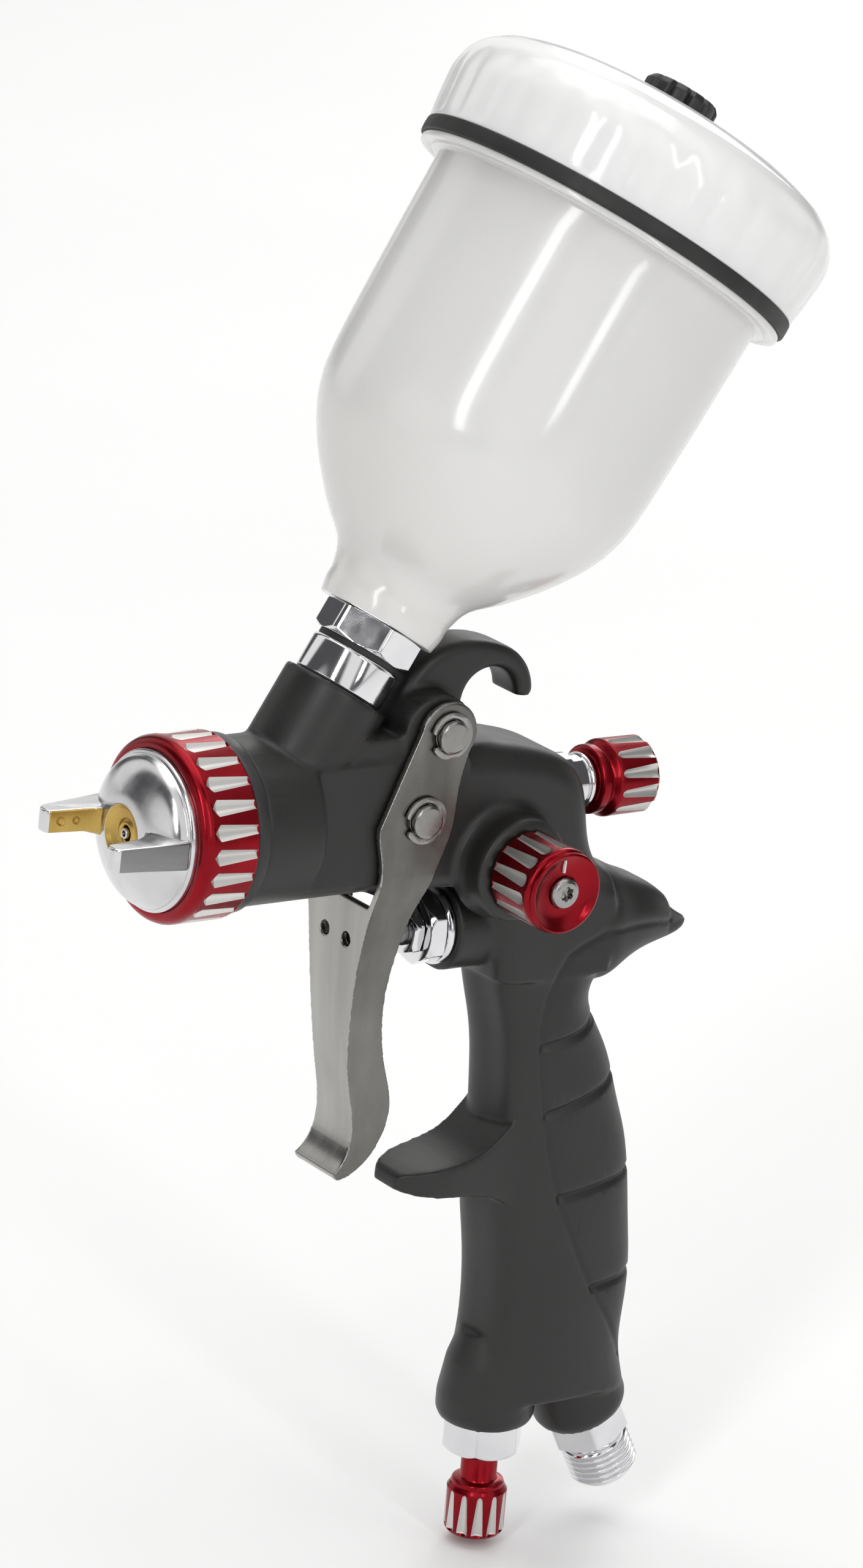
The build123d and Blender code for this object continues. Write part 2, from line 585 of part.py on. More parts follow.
with BuildPart() as fan_screw:
    turned(fan, (0, 20.4), (1.2, 20.4), (1.2, 27.0), (2.8, 27.0), (2.8, fan_face - 0.1),
           (2.2, fan_face + 0.3), (0, fan_face + 0.3))
    with BuildSketch(across(fan, fan_face + 0.4)) as star:
        with PolarLocations(0.75, 6):
            Circle(0.42)
        Circle(0.85)
    extrude(star.sketch, amount=-1.4, mode=Mode.SUBTRACT)
fan_screw.part.label = "fan_screw"
export_step(fan_screw.part, "parts/fan_screw.step")

# ================================ trigger ========================================================
cheek_out = cheek_in + sheet
front_line = [(-5.2, -0.6), (-4.9, -3.0), (-3.9, -7.2), (-3.9, -14.0), (-3.9, -22.0), (-3.7, -30.0),
              (-2.9, -40.0), (-1.6, -49.0), (-0.2, -55.0), (0.3, -59.5), (-0.4, -63.6), (-3.2, -67.0)]
rear_line = [(-2.2, -68.3), (1.0, -67.4), (4.6, -64.6), (7.4, -60.2), (8.4, -55.4), (6.8, -49.0),
             (4.6, -41.0), (3.8, -34.0), (4.4, -25.0), (6.2, -15.0), (9.0, -7.0), (10.8, -1.0), (10.9, 4.0),
             (11.8, 10.0), (13.0, 14.0)]
# half width over the sheet at heights down the trigger
waist = [(10.2, -16.0), (8.2, -24.0), (7.2, -30.0), (6.0, -40.0), (5.3, -49.0), (5.6, -57.0), (6.3, -70.5)]
ear_r = 5.9
plate_hole_gap = 6.4                  # between the centres of the two holes in the front


def trigger_face(setback):
    """The trigger's side outline, its front moved back by the setback."""
    front = [(x + setback, z) for x, z in front_line]
    return curved_outline(side, front, (front[-1], rear_line[0]), rear_line,
                          (rear_line[-1], (2.3, 18.0)), ((2.3, 18.0), front[0]))


def trigger_front(inset):
    """The trigger seen along the barrel, inset by the sheet's thickness where asked."""
    width = [(half - inset, z) for half, z in waist]
    top = cheek_out - inset
    right = [(top, -9.0), (top - 0.25, -12.0)] + width
    left = [(-half, z) for half, z in reversed(right)]
    facing = Plane(origin=at(-30, 0), x_dir=(0, 1, 0), z_dir=(1, 0, 0))
    return curved_outline(facing, ((-top, 30), (top, 30)), ((top, 30), right[0]), right,
                          (right[-1], left[0]), left, (left[-1], (-top, 30)))


with BuildPart() as trigger_hollow:
    extrude(trigger_face(sheet), amount=20, both=True)
    extrude(outline(side, (-12, -15.8), (20, -15.8), (20, 30), (-12, 30)), amount=20, both=True)
    extrude(outline(side, (3, -15.8), (20, -15.8), (20, -72), (8.0, -72), (3.0, -66.0)), amount=20,
            both=True)
    extrude(trigger_front(sheet), amount=60, mode=Mode.INTERSECT)

with BuildPart() as trigger:
    extrude(trigger_face(0), amount=20, both=True)
    rod(pivot, ear_r, -20, 20)
    extrude(trigger_front(0), amount=60, mode=Mode.INTERSECT)
    add(trigger_hollow.part, mode=Mode.SUBTRACT)
    rod(pivot, pin_r + running, -20, 20, mode=Mode.SUBTRACT)
    rod(drive, pin_r, -20, 20, mode=Mode.SUBTRACT)
    with BuildSketch(Plane(origin=at(-6, -23.4), x_dir=(0, 1, 0), z_dir=(1, 0, 0))) as sheet_holes:
        with GridLocations(plate_hole_gap, 0, 2, 1):
            Circle(1.3)
    extrude(sheet_holes.sketch, amount=5, mode=Mode.SUBTRACT)
trigger.part.label = "trigger"
export_step(trigger.part, "parts/trigger.step")

groove = (cheek_out + 0.2, cheek_out + 0.9)
pin_end = cheek_out + 1.9
with BuildPart() as pivot_pin:
    rod(pivot, pin_r, -groove[0], groove[0])
    rod(pivot, pin_r - 0.5, -pin_end, pin_end)
    for way in (1, -1):
        turned(pivot, (0, way * groove[1]), (pin_r, way * groove[1]), (pin_r, way * (pin_end - 0.3)),
               (pin_r - 0.3, way * pin_end), (0, way * pin_end))
pivot_pin.part.label = "pivot_pin"
export_step(pivot_pin.part, "parts/pivot_pin.step")

with BuildPart() as drive_pins:
    for way in (1, -1):
        turned(drive, (0, way * 2.2), (pin_r, way * 2.2), (pin_r, way * groove[0]),
               (pin_r - 0.5, way * groove[0]), (pin_r - 0.5, way * groove[1]),
               (pin_r, way * groove[1]), (pin_r, way * (pin_end - 0.3)),
               (pin_r - 0.3, way * pin_end), (0, way * pin_end))
drive_pins.part.label = "drive_pins"
export_step(drive_pins.part, "parts/drive_pins.step")


def clips(plane):
    """A pair of snap rings in the grooves at a pin's two ends, open towards the front."""
    with BuildPart() as pair:
        rod(plane, 4.5, groove[0], groove[1], inside=pin_r - 0.5)
        rod(plane, 4.5, -groove[1], -groove[0], inside=pin_r - 0.5)
        gap = outline(side, (-12, -1.6), (0, -1.6), (0, 1.6), (-12, 1.6))
        shift = Vector(*plane.origin) - side.origin
        extrude(gap.moved(Location(shift)), amount=20, both=True, mode=Mode.SUBTRACT)
    return pair.part


pivot_clips = clips(pivot)
pivot_clips.label = "pivot_clips"
export_step(pivot_clips, "parts/pivot_clips.step")
drive_clips = clips(drive)
drive_clips.label = "drive_clips"
export_step(drive_clips, "parts/drive_clips.step")

# ================================ air valve ======================================================
with BuildPart() as valve_housing:
    rod(valve, 7.0, 16.4, boss_front)
    hexagon(valve, 12.8, 16.4, 12.4)
    rod(valve, valve_bore, boss_front, 29)
    rod(valve, 4.0, 12, 16, mode=Mode.SUBTRACT)
    rod(valve, stem_r + running, 12, 30, mode=Mode.SUBTRACT)
valve_housing.part.label = "valve_housing"
export_step(valve_housing.part, "parts/valve_housing.step")

with BuildPart() as valve_gland:
    hexagon(valve, 10.4, 12.7, 8.6)
    rod(valve, 4.0, 12.7, 16)
    rod(valve, stem_r + running, 10, 17, mode=Mode.SUBTRACT)
valve_gland.part.label = "valve_gland"
export_step(valve_gland.part, "parts/valve_gland.step")

stem_front = -2.2
with BuildPart() as valve_stem:
    turned(valve, (0, stem_front), (0.8, stem_front), (stem_r, stem_front + 1.0), (stem_r, 29.4),
           (1.6, 29.4), (1.6, 34.0), (0, 34.0))
valve_stem.part.label = "valve_stem"
export_step(valve_stem.part, "parts/valve_stem.step")

with BuildPart() as valve_seal:
    rod(valve, 4.6, 29.4, 30.6, inside=1.6)
valve_seal.part.label = "valve_seal"
export_step(valve_seal.part, "parts/valve_seal.step")

with BuildPart() as valve_poppet:
    rod(valve, 5.0, 30.6, 32.6, inside=1.6)
    rod(valve, 2.4, 32.6, 35.0, inside=1.6)
valve_poppet.part.label = "valve_poppet"
export_step(valve_poppet.part, "parts/valve_poppet.step")

valve_spring = coil(valve, 3.9, 0.45, 32.7, valve_bore_end, 6)
valve_spring.label = "valve_spring"
export_step(valve_spring, "parts/valve_spring.step")

# ================================ handle foot ====================================================
with BuildPart() as regulator_housing:
    hexagon(regulator, 5.8, regulator_boss, 13.6)
    rod(regulator, 6.2, 5.4, 5.8)
    rod(regulator, 5.0, regulator_boss, 22)
    rod(regulator, regulator_stem + running, 5, 23, mode=Mode.SUBTRACT)
regulator_housing.part.label = "regulator_housing"
export_step(regulator_housing.part, "parts/regulator_housing.step")

with BuildPart() as regulator_valve:
    rod(regulator, 1.8, 8.0, 21)
    turned(regulator, (0, 21), (1.8, 21), (3.0, 22.0), (3.0, 24.0), (0, 26.0))
regulator_valve.part.label = "regulator_valve"
export_step(regulator_valve.part, "parts/regulator_valve.step")

with BuildPart() as regulator_ring:
    rod(regulator, regulator_stem, 18.2, 20.2, inside=1.8)
regulator_ring.part.label = "regulator_ring"
export_step(regulator_ring.part, "parts/regulator_ring.step")

knob_foot = -10.8
with BuildPart() as regulator_knob:
    turned(regulator, (0, knob_foot), (4.8, knob_foot), (5.9, knob_foot + 1.4), (5.4, -1.8),
           (4.9, -1.2), (4.9, -0.5), (4.4, 0), (regulator_stem, 0), (regulator_stem, 18.0),
           (1.8 + running, 18.0), (1.8 + running, 7.8), (0, 7.8))
    cut_flutes(flute_cutter(regulator, 5.0, knob_foot - 1, -2.6, 2.4, 1.2), regulator, knob_flutes)
regulator_knob.part.label = "regulator_knob"
export_step(regulator_knob.part, "parts/regulator_knob.step")

with BuildPart() as air_inlet:
    rod(inlet, inlet_r, 0, inlet_thread)
    rod(inlet, 5.6, inlet_thread, inlet_thread + 1)
    hexagon(inlet, inlet_thread + 1, inlet_boss, 13.8)
    rod(inlet, 5.5, inlet_boss, 30)
    rod(inlet, 3.6, -1, 31, mode=Mode.SUBTRACT)
air_inlet.part.label = "air_inlet"
export_step(air_inlet.part, "parts/air_inlet.step")
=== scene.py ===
import json
from math import cos, pi, radians, sin, sqrt

import bmesh
import bpy
import numpy as np
from mathutils import Matrix, Vector


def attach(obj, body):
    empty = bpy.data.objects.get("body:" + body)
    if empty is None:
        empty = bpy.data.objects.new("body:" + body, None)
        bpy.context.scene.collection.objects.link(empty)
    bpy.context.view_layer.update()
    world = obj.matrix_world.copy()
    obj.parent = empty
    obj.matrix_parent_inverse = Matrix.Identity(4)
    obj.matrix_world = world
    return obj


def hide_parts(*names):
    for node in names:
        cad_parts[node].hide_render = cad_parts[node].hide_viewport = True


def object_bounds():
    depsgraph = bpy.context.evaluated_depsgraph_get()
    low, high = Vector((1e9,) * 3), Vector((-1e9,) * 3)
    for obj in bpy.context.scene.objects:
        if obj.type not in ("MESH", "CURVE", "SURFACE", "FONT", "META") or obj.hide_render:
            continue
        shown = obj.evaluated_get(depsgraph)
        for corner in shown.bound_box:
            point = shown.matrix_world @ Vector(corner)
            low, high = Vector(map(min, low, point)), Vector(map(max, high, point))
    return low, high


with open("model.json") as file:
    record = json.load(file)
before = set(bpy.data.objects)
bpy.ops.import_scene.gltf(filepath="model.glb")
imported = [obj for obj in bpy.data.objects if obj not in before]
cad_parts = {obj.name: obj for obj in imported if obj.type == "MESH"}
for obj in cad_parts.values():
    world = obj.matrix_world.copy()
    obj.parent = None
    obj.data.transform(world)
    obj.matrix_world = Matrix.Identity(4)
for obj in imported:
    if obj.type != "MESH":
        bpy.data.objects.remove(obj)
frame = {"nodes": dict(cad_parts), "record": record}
cad_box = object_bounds()

# Lengths are millimetres until they become mesh points.  Most places are barrel coordinates:
# x along the barrel, z up from its axis, y negative on the gun's left.
mm = 0.001
barrel = Vector((-72.7, 0, 138.6))
cup_lean = radians(30.7)
inlet_lean = radians(28.8)
regulator_lean = radians(1.5)

# ---- camera: the photograph's view ------------------------------------------------------------
camera_turn = radians(-37.69)
camera_rise = radians(17.45)
camera_roll = radians(6.38)
camera_reach = 1.1664
look_at = Vector((-0.05886, 0.0, 0.14109))
lens_mm = 151.87


def add_camera():
    """A camera on the gun's left front, a little above it and rolled as the photograph is."""
    back = Vector((sin(camera_turn) * cos(camera_rise), -cos(camera_turn) * cos(camera_rise),
                   sin(camera_rise)))
    level = Vector((cos(camera_turn), sin(camera_turn), 0))
    up = back.cross(level)
    right = level * cos(camera_roll) + up * sin(camera_roll)
    above = up * cos(camera_roll) - level * sin(camera_roll)
    data = bpy.data.cameras.new("camera")
    data.lens = lens_mm
    data.sensor_width = 36
    data.clip_end = 20
    camera = bpy.data.objects.new("camera", data)
    turn = Matrix((right, above, back)).transposed().to_4x4()
    camera.matrix_world = Matrix.Translation(look_at + back * camera_reach) @ turn
    bpy.context.collection.objects.link(camera)
    bpy.context.scene.camera = camera


add_camera()


# ---- materials ----------------------------------------------------------------------------------
class Surface:
    """A Principled material whose colour, roughness and bump come from procedural nodes."""

    def __init__(self, name, roughness, metallic=0.0, **sockets):
        self.material = bpy.data.materials.new(name)
        self.material.use_nodes = True
        self.tree = self.material.node_tree
        self.shader = self.tree.nodes["Principled BSDF"]
        self.shader.inputs["Roughness"].default_value = roughness
        self.shader.inputs["Metallic"].default_value = metallic
        for label, value in sockets.items():
            self.shader.inputs[label.replace("_", " ")].default_value = value
        self.place = self.tree.nodes.new("ShaderNodeTexCoord").outputs["Object"]
        self.bump_chain = None

    def node(self, kind, **settings):
        """A new shader node with its settings."""
        made = self.tree.nodes.new(kind)
        for label, value in settings.items():
            setattr(made, label, value)
        return made

    def stretched(self, scale):
        """Object coordinates stretched along an axis, for brushing and drawing lines."""
        mapping = self.node("ShaderNodeMapping")
        mapping.inputs["Scale"].default_value = scale
        self.tree.links.new(self.place, mapping.inputs["Vector"])
        return mapping.outputs["Vector"]

    def noise(self, scale, detail, at=None):
        made = self.node("ShaderNodeTexNoise")
        made.inputs["Scale"].default_value = scale
        made.inputs["Detail"].default_value = detail
        self.tree.links.new(at or self.place, made.inputs["Vector"])
        return made.outputs["Fac"]

    def rings(self, scale, distortion):
        """Lathe marks: fine rings round the piece's own axis."""
        made = self.node("ShaderNodeTexWave", wave_type="RINGS", rings_direction="Z")
        made.inputs["Scale"].default_value = scale
        made.inputs["Distortion"].default_value = distortion
        made.inputs["Detail"].default_value = 2.0
        self.tree.links.new(self.place, made.inputs["Vector"])
        return made.outputs["Fac"]

    def ramp(self, source, *stops):
        """Colour from a value: each stop is a place and a colour."""
        made = self.node("ShaderNodeValToRGB")
        elements = made.color_ramp.elements
        while len(elements) < len(stops):
            elements.new(0.5)
        for element, (where, colour) in zip(elements, stops):
            element.position = where
            element.color = (*colour, 1)
        self.tree.links.new(source, made.inputs["Fac"])
        return made.outputs["Color"]

    def colour(self, source):
        self.tree.links.new(source, self.shader.inputs["Base Color"])

    def vary_roughness(self, source, low, high):
        """Roughness that runs from low to high with a noise."""
        made = self.node("ShaderNodeMapRange")
        for label, value in (("From Min", 0.3), ("From Max", 0.7), ("To Min", low), ("To Max", high)):
            made.inputs[label].default_value = value
        self.tree.links.new(source, made.inputs["Value"])
        self.tree.links.new(made.outputs["Result"], self.shader.inputs["Roughness"])

    def bump(self, source, height_mm, strength):
        """Adds a layer of relief to those before it."""
        made = self.node("ShaderNodeBump")
        made.inputs["Strength"].default_value = strength
        made.inputs["Distance"].default_value = height_mm * mm
        self.tree.links.new(source, made.inputs["Height"])
        if self.bump_chain:
            self.tree.links.new(self.bump_chain, made.inputs["Normal"])
        self.bump_chain = made.outputs["Normal"]
        self.tree.links.new(self.bump_chain, self.shader.inputs["Normal"])


def mottled(surface, dark, light, scale=60.0, detail=5.0, at=None):
    """Colour that drifts between two tones."""
    surface.colour(surface.ramp(surface.noise(scale, detail, at), (0.35, dark), (0.65, light)))


def make_coat(name, dark, light, low, high):
    """Satin powder coat: fine orange peel, a finer grain and slightly uneven gloss."""
    s = Surface(name, 0.45, Specular_IOR_Level=0.5)
    mottled(s, dark, light, 45)
    s.vary_roughness(s.noise(90, 6), low, high)
    s.bump(s.noise(900, 3), 0.05, 0.35)
    s.bump(s.noise(4200, 2), 0.02, 0.45)
    return s.material


def make_metal(name, dark, light, low, high, brushed=(1, 1, 1), grain=700.0, lathe=0.0, depth=0.012):
    """Bare or plated metal: brushing or lathe rings, stains and polish that varies."""
    s = Surface(name, (low + high) / 2, 1.0)
    at = s.stretched(brushed)
    mottled(s, dark, light, 110, 6, at)
    s.vary_roughness(s.noise(260, 8, at), low, high)
    s.bump(s.noise(grain, 5, at), depth, 0.4)
    if lathe:
        s.bump(s.rings(lathe, 0.6), 0.02, 0.25)
    return s.material


def make_anodised():
    """Deep red dyed aluminium over turned metal."""
    s = Surface("red_anodised", 0.3, 0.92, Coat_Weight=0.12, Coat_Roughness=0.1)
    mottled(s, (0.21, 0.0015, 0.007), (0.30, 0.003, 0.011), 90)
    s.vary_roughness(s.noise(300, 6), 0.22, 0.34)
    s.bump(s.noise(2500, 3), 0.006, 0.3)
    s.bump(s.rings(900, 0.4), 0.01, 0.15)
    return s.material


def make_cup_plastic(name, dark, light, through):
    """Milky moulded plastic: light soaks in, with faint flow marks under a glossy skin."""
    s = Surface(name, 0.2, 0.0, Subsurface_Weight=0.35, Subsurface_Radius=(0.006, 0.006, 0.0055),
                Subsurface_Scale=1.0, Transmission_Weight=through, IOR=1.5, Coat_Weight=0.3,
                Coat_Roughness=0.06)
    mottled(s, dark, light, 14, 3)
    s.vary_roughness(s.noise(40, 5), 0.14, 0.24)
    s.bump(s.noise(60, 3), 0.12, 0.2)
    s.bump(s.noise(500, 3), 0.02, 0.15)
    return s.material


def make_black(name, tone, low, high, grain):
    """A plain moulded or painted surface: one tone, mottled, with a fine grain."""
    s = Surface(name, (low + high) / 2)
    mottled(s, tuple(0.6 * c for c in tone), tone, 120)
    s.vary_roughness(s.noise(200, 6), low, high)
    s.bump(s.noise(grain, 4), 0.04, 0.35)
    return s.material


coat = make_coat("body_coat", (0.0088, 0.0081, 0.0077), (0.0125, 0.0116, 0.0111), 0.38, 0.48)
grip_coat = make_coat("grip_panel", (0.0076, 0.0071, 0.0069), (0.0108, 0.0101, 0.0098), 0.42, 0.52)
chrome = make_metal("chrome_plate", (0.72, 0.72, 0.74), (0.80, 0.80, 0.81), 0.05, 0.12, grain=300,
                    depth=0.006)
steel = make_metal("trigger_steel", (0.30, 0.295, 0.28), (0.42, 0.415, 0.40), 0.2, 0.34, (1, 1, 0.08), 1500,
                   depth=0.02)
# A darker, rougher copy of the steel for the trigger's side faces.
cheek_steel = make_metal("darker_cheek_steel", (0.13, 0.128, 0.12), (0.21, 0.207, 0.198), 0.22, 0.36, (1, 1, 0.4),
                         1300, depth=0.02)
turned_steel = make_metal("turned_steel", (0.28, 0.275, 0.265), (0.40, 0.395, 0.385), 0.18, 0.3, lathe=700,
                          grain=900)
dark_steel = make_metal("valve_stem_steel", (0.16, 0.16, 0.165), (0.24, 0.24, 0.245), 0.2, 0.3, lathe=1400)
spring_wire = make_metal("spring_steel", (0.30, 0.30, 0.30), (0.42, 0.42, 0.42), 0.25, 0.35)
nickel = make_metal("nickel_plate", (0.60, 0.60, 0.61), (0.72, 0.72, 0.73), 0.12, 0.28, grain=420,
                    depth=0.05)
dull_nickel = make_metal("dull_nickel", (0.20, 0.20, 0.205), (0.30, 0.30, 0.305), 0.2, 0.32, (0.1, 1, 1),
                         1500)
milled = make_metal("milled_aluminium", (0.60, 0.59, 0.57), (0.74, 0.73, 0.71), 0.34, 0.46, (1, 1, 0.2), 1800)
nozzle_steel = make_metal("nozzle_steel", (0.45, 0.44, 0.43), (0.56, 0.55, 0.54), 0.18, 0.3, lathe=1400)
brass = make_metal("plain_brass", (0.42, 0.28, 0.075), (0.54, 0.37, 0.11), 0.24, 0.36, lathe=1000)
red = make_anodised()
cup_plastic = make_cup_plastic("cup_plastic", (0.76, 0.755, 0.735), (0.82, 0.815, 0.80), 0.12)
lid_plastic = make_cup_plastic("lid_plastic", (0.84, 0.84, 0.835), (0.88, 0.88, 0.875), 0.04)
rubber = make_black("black_rubber", (0.016, 0.0155, 0.015), 0.5, 0.65, 1500)
# black_plastic also colours the discs inside the horn holes, where its black is painted shade.
black_plastic = make_black("black_plastic", (0.018, 0.018, 0.0185), 0.32, 0.46, 1100)
index_paint = make_black("index_paint", (0.62, 0.6, 0.58), 0.5, 0.6, 1100)

slot_material = {"body_coat": coat, "cup_plastic": cup_plastic, "lid_plastic": lid_plastic,
                 "black_rubber": rubber, "black_plastic": black_plastic, "chrome_plate": chrome,
                 "trigger_steel": steel, "turned_steel": turned_steel, "spring_steel": spring_wire,
                 "red_anodised": red, "nickel_plate": nickel, "nozzle_steel": nozzle_steel,
                 "plain_brass": brass}
slot_of = {part["node"]: part["material_slot"] for part in frame["record"]["subparts"]}
for name, node in frame["nodes"].items():
    node.data.materials.clear()
    node.data.materials.append(slot_material[slot_of[name]])


# ---- making pieces ------------------------------------------------------------------------------
def axis_frame(x, z, axis, radial, y=0.0):
    """A place whose Z is a turning axis and whose X is where angles are measured from."""
    along = Vector(axis)
    out = Vector(radial)
    turn = Matrix((out, along.cross(out), along)).transposed().to_4x4()
    return Matrix.Translation((barrel + Vector((x, y, z))) * mm) @ turn


up = (0, 0, 1)
spray = axis_frame(0, 0, (1, 0, 0), up)
valve = axis_frame(0, -24.3, (1, 0, 0), up)
fan = axis_frame(24.0, -9.6, (0, -1, 0), up)
pivot = axis_frame(7.6, 15.8, (0, -1, 0), up)
drive = axis_frame(3.9, 0.7, (0, -1, 0), up)
cup_axis = axis_frame(-22.4, 0, (sin(cup_lean), 0, cos(cup_lean)), (cos(cup_lean), 0, -sin(cup_lean)))
regulator = axis_frame(42.6, -135.3, (-sin(regulator_lean), 0, cos(regulator_lean)),
                       (cos(regulator_lean), 0, sin(regulator_lean)))
inlet = axis_frame(72.7, -138.6, (-sin(inlet_lean), 0, cos(inlet_lean)),
                   (cos(inlet_lean), 0, sin(inlet_lean)))


body_of = {}
for body, nodes in frame["record"]["behaviour"]["bodies"].items():
    for node in nodes:
        body_of[node] = body


def add_piece(name, node, mesh, materials, place=Matrix(), sharp=38, stands_in=True):
    """Shows a mesh in a CAD node's place, on that node's body and with the given materials.

    A tilted placement goes into the mesh itself, so that the piece's box stays tight.
    """
    for material in materials:
        mesh.materials.append(material)
    if any(0.001 < abs(part) < 0.999 for row in place.to_3x3() for part in row):
        mesh.transform(place)
        place = Matrix()
    mesh.shade_smooth()
    mesh.set_sharp_from_angle(angle=radians(sharp))
    made = bpy.data.objects.new(name, mesh)
    made.matrix_world = place
    bpy.context.collection.objects.link(made)
    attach(made, body_of[node])
    if stands_in:
        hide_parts(node)
    return made


def skin(name, rings, closed, mark):
    """A mesh whose neighbouring rings of points are joined; mark gives each face's material."""
    count = len(rings[0])
    points = [Vector(point) * mm for ring in rings for point in ring]
    faces = []
    marks = []
    for i in range(len(rings) if closed else len(rings) - 1):
        a = i * count
        b = (i + 1) % len(rings) * count
        for j in range(count):
            k = (j + 1) % count
            faces.append((a + j, a + k, b + k, b + j))
            marks.append(mark(i, j))
    mesh = bpy.data.meshes.new(name)
    mesh.from_pydata(points, [], faces)
    mesh.polygons.foreach_set("material_index", marks)
    work = bmesh.new()
    work.from_mesh(mesh)
    bmesh.ops.remove_doubles(work, verts=work.verts, dist=1e-6)
    bmesh.ops.recalc_face_normals(work, faces=work.faces)
    work.to_mesh(mesh)
    work.free()
    return mesh


def softened(profile, radius, closed):
    """The profile (radius, distance, material) with its corners rounded."""
    made = []
    total = len(profile)
    for i, (r, d, mark) in enumerate(profile):
        if not closed and i in (0, total - 1):
            made.append((r, d, mark))
            continue
        here = Vector((r, d))
        before = Vector(profile[i - 1][:2]) - here
        after = Vector(profile[(i + 1) % total][:2]) - here
        if before.length < 1e-4 or after.length < 1e-4 or before.angle(-after) < radians(14):
            made.append((r, d, mark))
            continue
        reach = min(radius, 0.42 * before.length, 0.42 * after.length)
        start = here + before.normalized() * reach
        end = here + after.normalized() * reach
        for step in range(4):
            s = step / 3
            point = start * (1 - s) ** 2 + here * 2 * s * (1 - s) + end * s ** 2
            made.append((point[0], point[1], profile[i - 1][2] if step < 2 else mark))
    return made


def turned(name, node, place, profile, materials, soften=0.18, around=96, shape=None, sharp=38,
           stands_in=True):
    """Turns a profile about the place's Z axis; shape may change the radius with the angle."""
    rows = [row if len(row) == 3 else (*row, 0) for row in profile]
    closed = rows[0][0] > 0 and rows[-1][0] > 0
    rows = softened(rows, soften, closed)
    rings = []
    for r, d, _ in rows:
        ring = []
        for step in range(around):
            a = 2 * pi * step / around
            reach = shape(r, d, a) if shape else r
            ring.append((reach * cos(a), reach * sin(a), d))
        rings.append(ring)
    mesh = skin(name, rings, closed, lambda i, j: rows[i][2])
    return add_piece(name, node, mesh, materials, place, sharp, stands_in)


def hexed(across, turn, low, high):
    """A shape that trims a turning to a hexagon between two distances, its corners eased."""
    def shape(r, d, a):
        """The radius at a distance and an angle, trimmed to the flats."""
        if not low <= d <= high:
            return r
        flat = (a - turn) % (pi / 3) - pi / 6
        return min(r, across / 2 / cos(flat))
    return shape


def hex_rows(across, low, high, lead_low=0.9, lead_high=0.9):
    """Profile rows of a hexagon whose corners are chamfered at both ends."""
    flat = across / 2
    corner = flat / cos(pi / 6) - 0.12
    rows = [(flat * 0.93, low), (flat, low + 0.08)]
    rows += [(flat + (corner - flat) * s / 5, low + 0.08 + lead_low * s / 5) for s in range(1, 6)]
    rows += [(flat + (corner - flat) * s / 5, high - 0.08 - lead_high * s / 5) for s in range(5, 0, -1)]
    return rows + [(flat, high - 0.08), (flat * 0.93, high)]


flute_columns = (-1, -0.75, -0.5, -0.25, 0, 0.25, 0.5, 0.75)


def fluted(name, node, place, rows, count, materials, turn=0.0, sharp=38):
    """A knob with hollow flutes all round: rows are radius, distance, half width, depth."""
    half = pi / count
    rings = []
    for r, d, width, depth in rows:
        edge = min(width / max(r, 0.5), half * 0.96)
        ring = []
        for step in range(count):
            middle = turn + 2 * half * step
            lands = [(-half, 0), (-(half + edge) / 2, 0)]
            hollow = [(edge * u, depth * (1 - u * u)) for u in flute_columns]
            for angle, sunk in lands + hollow + [(edge, 0), ((half + edge) / 2, 0)]:
                a = middle + angle
                ring.append(((r - sunk) * cos(a), (r - sunk) * sin(a), d))
        rings.append(ring)

    def mark(i, j):
        in_flute = 2 <= j % 12 < 10
        return 1 if in_flute and rows[i][3] > 0 and rows[(i + 1) % len(rows)][3] > 0 else 0

    closed = rows[0][0] > 0 and rows[-1][0] > 0
    return add_piece(name, node, skin(name, rings, closed, mark), materials, place, sharp)


def flute_rows(radius, start, end, widths, depths, fade_start, fade_end, point=False):
    """Rows along a flute that fades out over the given lengths at its ends (0 for open)."""
    length = abs(end - start)
    made = []
    for t in (0, 0.015, 0.04, 0.08, 0.13, 0.2, 0.35, 0.5, 0.65, 0.8, 0.87, 0.92, 0.96, 0.985, 1):
        fade = 1.0
        for reach, span in ((t * length, fade_start), ((1 - t) * length, fade_end)):
            if span and reach < span:
                s = reach / span
                fade = min(fade, s if point else sqrt(1 - (1 - s) ** 2))
        width = (widths[0] + (widths[1] - widths[0]) * t) * fade + 0.03
        depth = (depths[0] + (depths[1] - depths[0]) * t) * fade ** 1.4 + 0.002
        made.append((radius, start + (end - start) * t, width, depth))
    return made


def plain(rows, width):
    """Rows of a fluted knob beyond its flutes."""
    return [(r, d, width, 0) for r, d in rows]


def curve_rows(points):
    """Profile rows on a smooth curve through the points."""
    each = 4
    made = []
    for i in range(len(points) - 1):
        p = [Vector(points[max(0, min(len(points) - 1, i + k))]) for k in (-1, 0, 1, 2)]
        for step in range(each):
            t = step / each
            point = 0.5 * ((2 * p[1]) + (p[2] - p[0]) * t + (2 * p[0] - 5 * p[1] + 4 * p[2] - p[3]) * t * t
                           + (3 * p[1] - p[0] - 3 * p[2] + p[3]) * t ** 3)
            made.append((point[0], point[1]))
    return made + [points[-1]]


def settled(name, mesh, *modifiers):
    """The mesh with modifiers applied; each is (kind, settings)."""
    holder = bpy.data.objects.new(name, mesh)
    bpy.context.collection.objects.link(holder)
    for kind, settings in modifiers:
        modifier = holder.modifiers.new(kind, kind)
        for label, value in settings.items():
            setattr(modifier, label, value)
    applied = holder.evaluated_get(bpy.context.evaluated_depsgraph_get())
    made = bpy.data.meshes.new_from_object(applied)
    bpy.data.objects.remove(holder)
    return made


